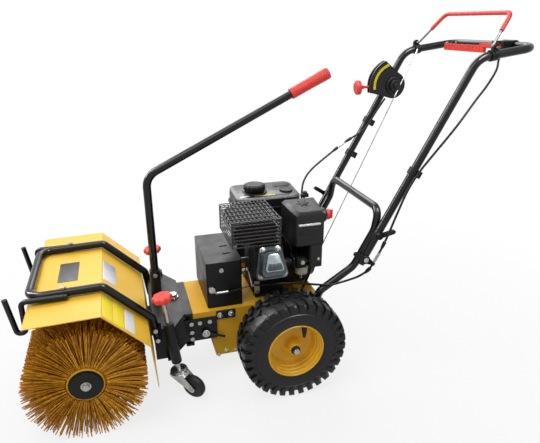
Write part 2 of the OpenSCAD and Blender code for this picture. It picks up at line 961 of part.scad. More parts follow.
module belt_cover() {
    y1 = cover_y0 + cover_w;
    x0 = -cover_front;
    top = deck_z + cover_h;
    color(black) difference() {
        round_box(x0, x0 + cover_l, cover_y0, y1, deck_z, top, cover_round);
        round_box(x0 + cover_wall, x0 + cover_l + cover_round + over, cover_y0 + cover_wall, y1 - cover_wall,
            deck_z - over, top - cover_wall, cover_round - cover_wall);
        for (y = [cover_y0 + cover_w / 4, cover_y0 + cover_w / 2])
            box(x0 + cover_l - cover_slot_x - cover_slot_l, x0 + cover_l - cover_slot_x,
                y, y + cover_slot_w, top - cover_wall - over, top + over);
        along_y(-arm_x, arm_z, cover_y0 - over, cover_y0 + cover_wall + over, arm_pin_d / 2 + fit);
    }
}

module clutch_arm() {
    y = cover_y0 - gap;
    mid = y - arm_boss_h / 2;
    elbow = [-arm_x + arm_drop, mid, arm_z - arm_drop];
    color(zinc) {
        along_y(-arm_x, arm_z, y - arm_boss_h, y, arm_boss_d / 2);
        along_y(-arm_x, arm_z, y - arm_boss_h, cover_y0 + cover_wall + arm_boss_h, arm_pin_d / 2);
        bent_tube([[-arm_x, mid, arm_z], elbow, elbow + [arm_reach, 0, 0]], arm_rod_d / 2, arm_rod_d);
    }
}

// Frame of the cylinder: its axis is local Z, and local X stays along the machine
module on_cylinder() {
    translate([jug_x, 0, crank_z]) rotate([90 - cylinder_lean, 0, 0]) children();
}

module engine_block() {
    color(dark) difference() {
        union() {
            round_box(-block_front, block_rear, block_y0, block_y1, deck_z + base_t, deck_z + block_h, block_round);
            box(-block_front, block_rear, block_y0 - base_flange, block_y1 + base_flange, deck_z, deck_z + base_t);
            on_cylinder() {
                translate([0, 0, jug_start]) linear_extrude(head_face - jug_start)
                    round_rect(jug_w - 2 * fin_reach, jug_h - 2 * fin_reach, block_round / 2);
                for (i = [0:fin_count - 1]) translate([0, 0, fin_first + i * fin_pitch])
                    linear_extrude(fin_t) round_rect(jug_w, jug_h, block_round / 2);
            }
        }
        along_x(0, crank_z, -block_front - over, -block_front + crank_seat, pto_d / 2 + fit);
    }
}

// Cover outline: a wide foot that narrows to a round-shouldered top
module valve_outline(inset) {
    w = valve_w / 2 - inset - valve_round;
    h = valve_hh / 2 - inset - valve_round;
    for (p = [[-w, -h], [w, -h], [-w * valve_top_share, h], [w * valve_top_share, h]])
        translate(p) circle(valve_round, $fn = 32);
}

module valve_cover() {
    color(cast_grey) on_cylinder() {
        translate([0, 0, head_face]) linear_extrude(valve_h0) hull() valve_outline(0);
        hull() {
            translate([0, 0, head_face + valve_h0]) linear_extrude(over) valve_outline(valve_h0 / 2);
            translate([0, 0, head_face + valve_h1 - over]) linear_extrude(over) valve_outline(valve_h0);
        }
        for (i = [-1, 1], j = [-1, 1])
            translate([i * (valve_w / 2 - valve_round) * (j > 0 ? valve_top_share : 1),
                       j * (valve_hh / 2 - valve_round), head_face + valve_h0])
                hex_head(bolt_head_d, bolt_head_h);
    }
}

module muffler() {
    m = muffler_inset;
    y1 = guard_y1 - m;
    color(dark) {
        translate([(guard_x0 + guard_x1) / 2, y1, (guard_z0 + guard_z1) / 2]) rotate([90, 0, 0])
            linear_extrude(y1 - guard_y0 - m)
            round_rect(guard_x1 - guard_x0 - 2 * m, guard_z1 - guard_z0 - 2 * m, muffler_round);
        translate([jug_x, block_y0 / 4, deck_z + block_h])
            cylinder(h = (guard_z0 + guard_z1) / 2 - deck_z - block_h, d = muffler_pipe_d);
    }
}

// A cage of bars: box edges, bars over the top, level bars round the sides
module muffler_guard() {
    e = guard_edge;
    b = guard_bar;
    dx = (guard_x1 - guard_x0 - b) / (guard_top_bars - 1);
    dz = (guard_z1 - guard_z0 - b) / (guard_side_bars - 1);
    color(black) union() {
        for (x = [guard_x0, guard_x1 - e], y = [guard_y0, guard_y1 - e]) box(x, x + e, y, y + e, guard_z0, guard_z1);
        for (i = [0:guard_top_bars - 1])
            box(guard_x0 + i * dx, guard_x0 + i * dx + b, guard_y0, guard_y1, guard_z1 - b, guard_z1);
        for (i = [0:guard_side_bars - 1]) let (z = guard_z0 + i * dz) {
            for (y = [guard_y0, guard_y1 - b]) box(guard_x0, guard_x1, y, y + b, z, z + b);
            for (x = [guard_x0, guard_x1 - b]) box(x, x + b, guard_y0, guard_y1, z, z + b);
        }
        for (y = [guard_y0 + muffler_round, guard_y1 - muffler_round])
            box(guard_x0, guard_x1, y, y + e, guard_z0, guard_z0 + muffler_inset);
    }
}

module air_box() {
    outline = [
        [air_y0, air_foot_z], [air_y0 + air_foot_in, air_z0], [air_y1, air_z0], [air_y1, air_z1 + air_crown],
        [air_y0 + air_crown, air_z1 + air_crown / 2], [air_y0, air_z1]
    ];
    top = air_z1 + air_crown;
    color(dark) difference() {
        union() {
            translate([air_far, 0, 0]) rotate([90, 0, 90]) linear_extrude(air_x1 - air_far) polygon(outline);
            translate([(air_x0 + air_x1) / 2, (air_y0 + air_y1) / 2, top - star_h]) {
                cylinder(h = star_h, d = star_d / 2);
                for (i = [0:star_arms - 1]) rotate([0, 0, 360 * i / star_arms])
                    translate([0, -star_arm_w / 2, 0]) cube([star_d / 2, star_arm_w, star_h]);
            }
            along_x(switch_y, switch_z, air_x1 - over, air_x1 + switch_l, switch_d / 2);
        }
        for (z = [air_groove_z, air_groove_z - 2 * air_groove_h])
            box(air_x0 + air_round, air_x1 - air_round / 2, air_y0 - over, air_y0 + air_groove_d, z, z + air_groove_h);
        translate([0, 0, air_z0 - over]) linear_extrude(2 * (air_z1 - air_z0)) polygon([
            [air_far - over, air_y1], [air_x0, air_y0 - over], [air_far - over, air_y0 - over]
        ]);
        along_x(switch_y, switch_z, air_x1 + switch_l - stop_pin_l - over, air_x1 + switch_l + over,
            stop_pin_d / 2 + fit);
    }
}

module stop_knob() {
    x = air_x1 + switch_l;
    color(red) {
        along_x(switch_y, switch_z, x - stop_pin_l, x + gap + stop_l / 2, stop_pin_d / 2);
        along_x(switch_y, switch_z, x + gap, x + gap + stop_l, stop_d / 2);
        box(x + gap + stop_l / 2, x + gap + 2 * stop_l, switch_y - stop_l / 4, switch_y + stop_l / 4,
            switch_z - stop_d / 2 + stop_l / 4, switch_z + stop_d / 2 - stop_l / 4);
    }
}

module carburettor() {
    color(cast_grey) {
        translate([carb_x, carb_y, carb_z]) {
            cylinder(h = carb_bowl_h + over, d = carb_bowl_d);
            translate([-carb_body_w / 2, -carb_body_w / 2, carb_bowl_h])
                cube([carb_body_w, carb_body_w, air_z0 - carb_z - carb_bowl_h]);
        }
        along_x(carb_y, carb_z + carb_bowl_h, jug_x + jug_w / 2, carb_x, carb_pipe_d / 2);
    }
}

module fuel_tank() {
    x1 = tank_x0 + tank_l;
    y1 = tank_y0 + tank_w;
    c = tank_crown_in;
    color(dark) difference() {
        union() {
            round_box(tank_x0, x1, tank_y0, y1, tank_z0, tank_z1, tank_round);
            round_box(tank_x0 - tank_seam, x1 + tank_seam, tank_y0 - tank_seam, y1 + tank_seam,
                (tank_z0 + tank_z1) / 2, (tank_z0 + tank_z1) / 2 + tank_seam_h, tank_round + tank_seam);
            round_box(tank_x0 + c, x1 - c, tank_y0 + c, y1 - c, tank_z1, tank_z1 + tank_crown, tank_round - tank_crown);
            for (x = [tank_x0 + tank_round, block_rear - gap - tank_post_w])
                box(x, x + tank_post_w, tank_y0, block_y1, deck_z + block_h, tank_z0);
            translate([neck_x, neck_y, tank_z1]) cylinder(h = tank_crown + neck_h, d = neck_d);
        }
        translate([neck_x, neck_y, tank_z1 + tank_crown + neck_h - neck_bore_h])
            cylinder(h = neck_bore_h + over, d = neck_bore_d);
        translate([gauge_x, gauge_y, tank_z1 + tank_crown - gauge_depth])
            cylinder(h = gauge_depth + over, d = gauge_d);
    }
}

module fuel_cap() {
    z = tank_z1 + tank_crown + neck_h + gap;
    color(black) translate([neck_x, neck_y, z]) {
        translate([0, 0, -cap_plug_h]) cylinder(h = cap_plug_h + over, d = cap_plug_d);
        cylinder(h = cap_h, d = cap_d - cap_rib_d);
        for (i = [0:cap_ribs - 1]) rotate([0, 0, 360 * i / cap_ribs])
            translate([cap_d / 2 - cap_rib_d / 2, 0, 0]) cylinder(h = cap_h - cap_rib_d, d = cap_rib_d, $fn = 16);
    }
}

module fan_housing() {
    x0 = block_rear;
    nose = fan_x1 + starter_l;
    color(black) difference() {
        union() {
            along_x(0, crank_z, x0, fan_x1, fan_r);
            box(x0, fan_x1, 0, fan_r, crank_z, crank_z + fan_r + fan_scroll_h - fan_r / 2);
            along_x(0, crank_z, fan_x1 - over, nose, starter_r);
            along_x(0, crank_z, nose - over, nose + starter_nose_l, starter_nose_r);
            rod([pull_x + pull_neck_d, starter_r - pull_neck_d, crank_z], [pull_x + pull_neck_d, fan_r + pull_d, crank_z],
                pull_neck_d / 2);
            along_x(fan_r + pull_d, crank_z, pull_x + pull_neck_d - pull_w / 2, pull_x + pull_neck_d + pull_w / 2,
                pull_d / 2);
        }
        for (i = [0:starter_slots - 1]) translate([nose - starter_l / 2, 0, crank_z])
            rotate([360 * i / starter_slots, 0, 0])
            translate([0, -starter_slot_w / 2, starter_r * (1 - starter_slot_share)])
            cube([starter_l, starter_slot_w, starter_r * starter_slot_share * starter_slot_share * 2 - over]);
        box(x0 - over, nose + over, -fan_r - over, fan_r + over, crank_z - 2 * fan_r, foot_z + gap);
        box(air_far - gap, nose + over, -fan_r - over, air_y1 + gap, air_z0 - gap, crank_z + 2 * fan_r);
    }
}

// Left half of the lower handle, foot to crossbar
leg_half = [
    [leg_foot_x, -leg_y, foot_z], [leg_foot_x, -leg_y, leg_knee_z], [leg_bow_x, -leg_y, leg_bow_z],
    handle_point(leg_top_from, -leg_y), [leg_top_x, -leg_y, leg_top_z]
];

module lower_handle() {
    color(black) difference() {
        bent_tube(concat(leg_half, backwards(flip_y(leg_half))), handle_d / 2,
            [leg_bend_r, leg_bow_r, leg_bow_r, leg_bend_r, leg_bend_r, leg_bow_r, leg_bow_r, leg_bend_r], handle_wall);
        along_y(fold_x, fold_z, -grip_y, grip_y, fold_d / 2 + fit);
    }
}

// Left half of the upper handle, lower end to rear corner
bend_point = handle_point(handle_bend_up, -grip_y);
grip_half = [
    handle_point(-handle_tail, -grip_y), bend_point, bend_point + [grip_run_x, 0, grip_run_z]
];

module upper_handle() {
    clamp = handle_point(clamp_up, 0);
    color(black) difference() {
        bent_tube(concat(grip_half, backwards(flip_y(grip_half))), handle_d / 2,
            [handle_bend_r, grip_corner_r, grip_corner_r, handle_bend_r], handle_wall);
        along_y(fold_x, fold_z, -grip_y - handle_d, grip_y + handle_d, fold_d / 2 + fit);
        along_y(clamp[0], clamp[2], -grip_y - handle_d, grip_y + handle_d, cam_d / 2 + fit);
    }
}

module cam_lever(side, turn) {
    p = handle_point(clamp_up, side * (grip_y + handle_d / 2 + gap));
    color(black) {
        translate(p) rotate([-side * 90, 0, 0]) {
            cylinder(h = cam_t, d = cam_hub_d);
            translate([0, 0, -handle_d - gap]) cylinder(h = handle_d + gap + over, d = cam_d);
            rotate([0, 0, turn]) translate([0, -cam_w / 2, 0]) cube([cam_l, cam_w, cam_t]);
            rotate([0, 0, turn]) translate([cam_l, 0, 0]) cylinder(h = cam_t, d = cam_w);
        }
    }
}

// A bail pivot stands above the side tube of the grip, on an ear outside it
bail_at = bend_point + bail_along * unit([grip_run_x, 0, grip_run_z]);
bail_x = bail_at[0];
bail_z = bail_at[2] + bail_rise;
ear_y = grip_y + bail_shoulder;
drive_ahead = 7.6;
drive_in = 18.5;
drive_gap = 2;
drive_side = -16;
drive_up = 15;
drive_from = [bail_x - drive_ahead, grip_y - drive_in, bail_at[2]];
drive_to = [deck_rear + drive_gap, drive_side, deck_z + drive_up];
drive_steps = 12;
drive_route = [for (i = [0:drive_steps]) drive_from + (drive_to - drive_from) * i / drive_steps];

module sleeve(p, dir, l, wall) {
    from_to(p - dir * l / 2, p + dir * l / 2) linear_extrude(l) difference() {
        circle(handle_d / 2 + wall);
        circle(handle_d / 2 + fit);
    }
}

module handle_clips() {
    dir = [cos(handle_slope), 0, sin(handle_slope)];
    run = unit([grip_run_x, 0, grip_run_z]);
    color(black) {
        for (c = [[-1, clip_along], [1, clip_right[0]], [1, clip_right[1]]]) let (p = handle_point(c[1], c[0] * grip_y)) {
            sleeve(p, dir, clip_l, clip_wall);
            translate(p) rotate([0, 90 - handle_slope, 0])
                translate([handle_d / 2 + clip_wall / 2, -clip_lug / 2, -clip_l / 2])
                cube([clip_lug, clip_lug, clip_l]);
        }
        for (side = [-1, 1]) difference() {
            union() {
                sleeve([bail_x, side * grip_y, bail_at[2]], run, bail_ear_l, clip_wall);
                along_y(bail_x, bail_z, side > 0 ? ear_y : -ear_y - bail_ear_t, side > 0 ? ear_y + bail_ear_t : -ear_y,
                    bail_ear_r);
                difference() {
                    box(bail_x - bail_ear_r, bail_x + bail_ear_r, side > 0 ? ear_y : -ear_y - bail_ear_t,
                        side > 0 ? ear_y + bail_ear_t : -ear_y, bail_at[2], bail_z);
                    from_to([bail_x, side * grip_y, bail_at[2]] - run * bail_ear_l,
                        [bail_x, side * grip_y, bail_at[2]])
                        cylinder(h = 2 * bail_ear_l, d = handle_d + 2 * fit);
                }
            }
            along_y(bail_x, bail_z, -track_outer, track_outer, bail_d / 2 + fit);
        }
    }
}

// Left half of the bail, pivot pin to top corner
bail_half = [
    [bail_x, -ear_y - bail_ear_t - bail_tail, bail_z], [bail_x, -ear_y + bail_foot_r, bail_z],
    [bail_x + bail_top_x, -bail_top_y, bail_z + bail_top_z]
];

module bail_rod() {
    color(zinc) bent_tube(concat(bail_half, backwards(flip_y(bail_half))), bail_d / 2,
        [bail_foot_r, bail_bend_r, bail_bend_r, bail_foot_r]);
}

module bail_grip() {
    arm = bail_half[2] - bail_half[1];
    half = [bail_half[2] - bail_grip_share * arm, bail_half[2]];
    color(red) bent_tube(concat(half, backwards(flip_y(half))), bail_grip_d / 2, bail_bend_r,
        (bail_grip_d - bail_d) / 2 - gap);
}

// Console outline about the throttle's hub: boss, sector and straight flanks
module console_outline() {
    flank = acos(console_hub_r / console_r);
    mid = (console_from + console_to) / 2;
    rim = [for (a = [console_from, mid, console_to]) [cos(a), sin(a)]];
    hub = [for (a = [console_from - flank, console_to + flank]) [cos(a), sin(a)]];
    circle(console_hub_r);
    intersection() {
        circle(console_r, $fn = 96);
        polygon([[0, 0], for (p = rim) 2 * console_r * p]);
    }
    polygon([
        console_flank_share * console_hub_r * hub[0], console_flank_share * console_r * rim[0],
        console_flank_share * console_r * rim[2], console_flank_share * console_hub_r * hub[1]
    ]);
}

// Two plates with the lever's slot between them, clamped to the right tube
module throttle_console() {
    plate = (console_t - console_slot) / 2;
    dir = [cos(handle_slope), 0, sin(handle_slope)];
    seat = handle_point((console_z - fold_z) / sin(handle_slope), grip_y);
    spacer = throttle_hub_d / 2 + console_wall;
    color(dark) difference() {
        union() {
            for (y = [console_y0, console_y0 + plate + console_slot])
                translate([console_x, y + plate, console_z]) rotate([90, 0, 0]) linear_extrude(plate) console_outline();
            along_y(console_x, console_z, console_y0 - console_wall, console_y0 + console_t - over, console_pin_d / 2);
            along_y(console_x, console_z, console_y0 - console_wall, console_y0 + over, throttle_hub_d / 2);
            box(console_x + spacer, console_x + console_hub_r - console_wall, console_y0 + over,
                console_y0 + console_t - over, console_z - spacer, console_z + spacer);
            sleeve(seat, dir, console_clamp_l, clip_wall);
            box(seat[0] - console_clamp_l / 4, seat[0] + console_clamp_l / 4, console_y0 + console_t - over,
                grip_y - handle_d / 4, console_z - console_clamp_l / 4, console_z + console_clamp_l / 4);
        }
        from_to(seat - dir * console_clamp_l, seat) cylinder(h = 2 * console_clamp_l, d = handle_d + 2 * fit);
    }
}

module throttle_lever() {
    mid = console_y0 + console_t / 2;
    hub = [console_x, mid, console_z];
    dir = [cos(throttle_rest), 0, sin(throttle_rest)];
    t = console_slot / 2 - gap;
    color(red) difference() {
        union() {
            along_y(console_x, console_z, mid - t, mid + t, throttle_hub_d / 2);
            rod(hub, hub + dir * throttle_knob_r, throttle_rod_d / 2);
            from_to(hub + dir * (throttle_knob_r - throttle_neck), hub + dir * throttle_knob_r)
                rotate_extrude() polygon([
                    [0, 0], [throttle_rod_d / 2, 0], [throttle_rod_d, throttle_neck - throttle_knob_t / 2],
                    [throttle_knob_d / 2, throttle_neck - throttle_knob_t / 4],
                    [throttle_knob_d / 2, throttle_neck + throttle_knob_t / 4],
                    [throttle_knob_d / 3, throttle_neck + throttle_knob_t / 2], [0, throttle_neck + throttle_knob_t / 2]
                ]);
        }
        along_y(console_x, console_z, mid - console_slot, mid + console_slot, console_pin_d / 2 + fit);
    }
}

clutch_pivot = [crossbar_x - clutch_pivot_back, clutch_pivot_y, crossbar_z];

module clutch_housing() {
    slot = clutch_t / 2 + gap;
    color(black) difference() {
        union() {
            box(crossbar_x - housing_reach, crossbar_x, housing_y0, housing_y1,
                crossbar_z - housing_h / 2, crossbar_z + housing_h / 2);
            along_y(crossbar_x, crossbar_z, housing_y0, housing_y1, handle_d / 2 + housing_wall);
            translate(clutch_pivot - [0, 0, housing_h / 2]) cylinder(h = housing_h, d = clutch_hub_d + 2 * housing_wall);
        }
        along_y(crossbar_x, crossbar_z, housing_y0 - over, housing_y1 + over, handle_d / 2 + fit);
        difference() {
            box(crossbar_x - 2 * housing_reach, crossbar_x - handle_d / 2 - housing_wall,
                clutch_pivot_y - clutch_hub_d, housing_y1 + over, crossbar_z - slot, crossbar_z + slot);
            translate(clutch_pivot - [0, 0, housing_h]) cylinder(h = 2 * housing_h, d = clutch_pin_d);
        }
    }
}

module clutch_lever() {
    gx = crossbar_x - clutch_grip_back;
    color(red) translate([0, 0, crossbar_z]) difference() {
        union() {
            translate([clutch_pivot[0], clutch_pivot_y, -clutch_t / 2]) cylinder(h = clutch_t, d = clutch_hub_d);
            translate([0, 0, -clutch_t / 2]) linear_extrude(clutch_t) polygon([
                [clutch_pivot[0] + clutch_hub_d / 4, clutch_pivot_y], [clutch_pivot[0] - clutch_hub_d / 2, clutch_pivot_y],
                [gx - clutch_grip_w / 2, clutch_grip_from], [gx - clutch_grip_w / 2, clutch_grip_from + clutch_grip_h],
                [gx + clutch_grip_w / 2, clutch_grip_from + clutch_grip_h], [gx + clutch_grip_w / 2, clutch_grip_from]
            ]);
            translate([gx, (clutch_grip_from + clutch_grip_to) / 2, -clutch_grip_h / 2 - clutch_drop])
                linear_extrude(clutch_grip_h) round_rect(clutch_grip_w, clutch_grip_to - clutch_grip_from, clutch_grip_w / 3);
        }
        translate([clutch_pivot[0], clutch_pivot_y, -clutch_grip_h]) cylinder(h = 2 * clutch_grip_h, d = clutch_pin_d + 2 * fit);
        for (i = [1:clutch_ridges])
            translate([gx - clutch_grip_w / 2, clutch_grip_from + i * (clutch_grip_to - clutch_grip_from) / (clutch_ridges + 1),
                       -clutch_grip_h / 2 - clutch_drop - over])
                cylinder(h = clutch_grip_h + 2 * over, d = clutch_ridge_d);
    }
}

module hood() {
    color(yellow) difference() {
        bent_sheet(hood_path, hood_t, hood_w);
        box(-hood_knee - over, -hood_flap + over, -hood_notch_w / 2, hood_notch_w / 2, hood_flap_z - over, hood_notch_z);
        for (side = [-1, 1]) translate([-guard_bolt_x, side * rail_y, hood_front_z - rail_d])
            cylinder(h = 2 * rail_d, d = bolt_d + 2 * fit);
    }
}

// Rail corners follow the hood's outside at the rail's own radius
rail_line = shifted(hood_path, rail_off);
rail_half = [
    [rail_line[3][0], -rail_y, rail_foot_z], [rail_line[2][0], -rail_y, rail_line[2][1]],
    [rail_line[1][0], -rail_y, rail_line[1][1]], [-rail_nose, -rail_y, rail_line[0][1]]
];
hook_z = rail_line[0][1];
hook_points = [
    [-hook_start, -hook_y, hook_z], [-hook_drop_x, -hook_y, hook_z], [-hook_drop_x, -hook_y, hook_low_z],
    [-hook_drop_x - hook_mouth, -hook_y, hook_low_z],
    [-hook_drop_x - hook_mouth - hook_tip_lean, -hook_y, hook_low_z + hook_tip_rise]
];

// Bolts of the rails' feet, and the hood's bolts through the rails
function rail_leg_x(z) = rail_half[0][0]
    + (rail_half[1][0] - rail_half[0][0]) * (z - rail_half[0][2]) / (rail_half[1][2] - rail_half[0][2]);
foot_bolts = [
    for (up = [foot_bolt_up, foot_bolt_up + foot_bolt_pitch]) [rail_leg_x(rail_foot_z + up), rail_foot_z + up]
];
guard_bolt_share = (hood_front - guard_bolt_x) / (hood_front - hood_ridge);
guard_bolt_rise = guard_bolt_share * (hood_ridge_z - hood_front_z);

module guard_frame() {
    color(black) difference() {
        union() {
            bent_tube(concat(rail_half, backwards(flip_y(rail_half))), rail_d / 2,
                [rail_bend, rail_bend, rail_nose_bend, rail_nose_bend, rail_bend, rail_bend], rail_wall);
            for (points = [hook_points, flip_y(hook_points)])
                bent_tube(points, hook_d / 2, [hook_top_bend, hook_bend, hook_bend]);
            for (y = [-hook_y, rail_y + rail_d / 2 - rail_wall / 2])
                box(-hook_start - weld_l, -hook_start - weld, y, y + hook_y - rail_y - rail_d / 2 + rail_wall / 2,
                    hook_z - weld_h / 2, hook_z + weld_h / 2);
        }
        for (side = [-1, 1]) translate([-guard_bolt_x, side * rail_y, hood_front_z - rail_d])
            cylinder(h = 3 * rail_d, d = bolt_d + 2 * fit);
        for (p = foot_bolts) along_y(p[0], p[1], -track_outer, track_outer, bolt_d / 2 + fit);
    }
}

module head_bolts() {
    top = rail_line[0][1] + guard_bolt_rise + rail_d / 2 + gap;
    under = hood_front_z + guard_bolt_rise - hood_t - gap;
    stub_z = head_top_z + stub_bolt_h;
    color(zinc) {
        for (side = [-1, 1]) {
            y = side * rail_y;
            bolt([-guard_bolt_x, y, under], [-guard_bolt_x, y, top], bolt_d, bolt_head_d, bolt_head_h);
            for (p = foot_bolts)
                bolt([p[0], side * (head_side_y - head_side_t), p[1]], [p[0], side * (rail_y + rail_d / 2 + gap), p[1]],
                    bolt_d, bolt_head_d, bolt_head_h, false);
        }
        bolt([-stub_x, -stub_d / 2, stub_z], [-stub_x, stub_d / 2, stub_z], bolt_d, bolt_head_d, bolt_head_h);
    }
}

// Caster frame: origin on the leaning axis at wheel height, local Z up the stem
caster_camber = asin(sin(caster_lean) * sin(-caster_turn));
caster_wheel_z = caster_d / 2 * cos(caster_camber) + (caster_w / 2 - caster_crown / 2) * sin(caster_camber);
caster_base_x = -caster_top_x + (caster_top_z - caster_wheel_z) * tan(caster_lean);
function up_axis(z) = (z - caster_wheel_z) / cos(caster_lean);
caster_hub_up = -caster_trail * cos(caster_turn) * tan(caster_lean);
fork_top = caster_d / 2 + fork_gap + fork_t;

module on_caster(side) {
    translate([caster_base_x, side * caster_y, caster_wheel_z]) rotate([0, -caster_lean, 0]) children();
}

// Local X of the fork points along its trail, local Y along the wheel's pin
module on_fork(side) {
    on_caster(side) rotate([0, 0, -side * caster_turn]) children();
}

module head_bracket() {
    plate = [
        [-head_front, -head_side_y], [-head_wing_x, -head_side_y], [-head_wing_x, -head_wing_y], [-head_tip_x, -head_tip_y],
        [-head_waist_x, -head_waist_y], [-head_waist_x, head_waist_y], [-head_tip_x, head_tip_y], [-head_wing_x, head_wing_y],
        [-head_wing_x, head_side_y], [-head_front, head_side_y]
    ];
    side = [
        [-head_front, head_bottom_z], [-head_toe_x, head_bottom_z], [-head_heel_x, head_heel_z],
        [-head_tail_x, head_top_z - head_t], [-head_front, head_top_z - head_t]
    ];
    color(black) difference() {
        union() {
            translate([0, 0, head_top_z - head_t]) linear_extrude(head_t) polygon(plate);
            for (y = [-head_side_y, head_side_y - head_side_t]) side_plate(side, y, head_side_t);
            box(-head_front, -head_front + head_front_t, -head_side_y, head_side_y, head_bottom_z, head_top_z);
            box(-head_front, -head_toe_x, -head_side_y, head_side_y, head_bottom_z, head_bottom_z + head_t);
            box(-head_toe_x - over, -pivot_x, -tongue_w / 2, tongue_w / 2, head_bottom_z, head_bottom_z + head_t);
            translate([-pivot_x, 0, head_bottom_z]) cylinder(h = head_t, r = tongue_end);
            translate([-stub_x, 0, head_top_z]) cylinder(h = stub_h, d = stub_d);
            for (s = [-1, 1]) {
                on_caster(s) translate([0, 0, up_axis(caster_tube_low)])
                    cylinder(h = up_axis(caster_tube_top) - up_axis(caster_tube_low), d = caster_tube_d);
                box(-caster_top_x, -head_toe_x + caster_tube_d / 2, s > 0 ? head_side_y - over : -caster_y,
                    s > 0 ? caster_y : -head_side_y + over, head_bottom_z + 2 * gusset_t, head_bottom_z + 3 * gusset_t);
            }
        }
        for (s = [-1, 1]) on_caster(s) cylinder(h = caster_top_z, d = stem_d + 2 * fit);
        translate([-pivot_x, 0, head_bottom_z - over])
            cylinder(h = head_top_z - head_bottom_z + 2 * over, d = pivot_d + 2 * fit);
        translate([-stub_x, 0, head_top_z]) cylinder(h = stub_h + over, d = lever_d + 2 * fit);
        along_y(-stub_x, head_top_z + stub_bolt_h, -stub_d, stub_d, bolt_d / 2 + fit);
        along_x(0, shaft_z, -head_front - over, -head_front + head_front_t + over, neck_hole_r);
        for (p = foot_bolts, y = [-head_side_y - over, head_side_y - head_side_t])
            along_y(p[0], p[1], y, y + head_side_t + over, bolt_d / 2 + fit);
    }
}

lever_bend = [-stub_x, 0, lever_bend_z];
lever_end = lever_bend + lever_run * [cos(lever_rise), 0, sin(lever_rise)];

module lever_tube() {
    color(black) difference() {
        bent_tube([[-stub_x, 0, lever_bottom_z], lever_bend, lever_end], lever_d / 2, lever_bend_r, lever_wall);
        along_y(-stub_x, head_top_z + stub_bolt_h, -stub_d, stub_d, bolt_d / 2 + fit);
    }
}

module lever_grip() {
    r = lever_d / 2 + grip_wall;
    start = lever_end - grip_l * unit(lever_end - lever_bend);
    color(red) difference() {
        from_to(start, lever_end) rotate_extrude() polygon([
            [0, 0], [r, 0], [r, grip_l / 2], [r + grip_flare, grip_l], [r, grip_l + grip_wall], [0, grip_l + grip_wall]
        ]);
        from_to(start - unit(lever_end - lever_bend), lever_end) cylinder(h = grip_l + over, d = lever_d + 2 * fit);
    }
}

module gearbox() {
    color(dark) difference() {
        union() {
            along_y(-brush_x, brush_z, -gearbox_w / 2, gearbox_w / 2, gearbox_r);
            along_x(0, shaft_z, -brush_x, -head_front, gearbox_neck_r);
            along_x(0, shaft_z, -head_front - gearbox_flange_t, -head_front, gearbox_flange_r);
        }
        along_y(-brush_x, brush_z, -gearbox_w, gearbox_w, brush_shaft_d / 2 + fit);
        along_x(0, shaft_z, -brush_x + brush_shaft_d / 2 + worm_end - over, -head_front + over, worm_d / 2 + fit);
    }
}

module brush_shaft() {
    reach = brush_l / 2 + end_disc_t;
    color(zinc) {
        along_y(-brush_x, brush_z, -reach, reach, brush_shaft_d / 2);
        for (side = [-1, 1]) translate([-brush_x, side * reach, brush_z]) rotate([-side * 90, 0, 0]) {
            cylinder(h = hub_washer_t, d = hub_washer_d);
            translate([0, 0, hub_washer_t]) hex_head(hub_bolt_d, hub_bolt_h);
        }
    }
}

module end_discs() {
    color(black) for (side = [-1, 1]) translate([-brush_x, side * brush_l / 2, brush_z]) rotate([-side * 90, 0, 0])
        difference() {
            union() {
                cylinder(h = end_disc_t, d = end_disc_d);
                cylinder(h = end_rim_t, d = end_rim_d);
            }
            translate([0, 0, -over]) cylinder(h = end_disc_t + 2 * over, d = brush_shaft_d + 2 * fit);
        }
}

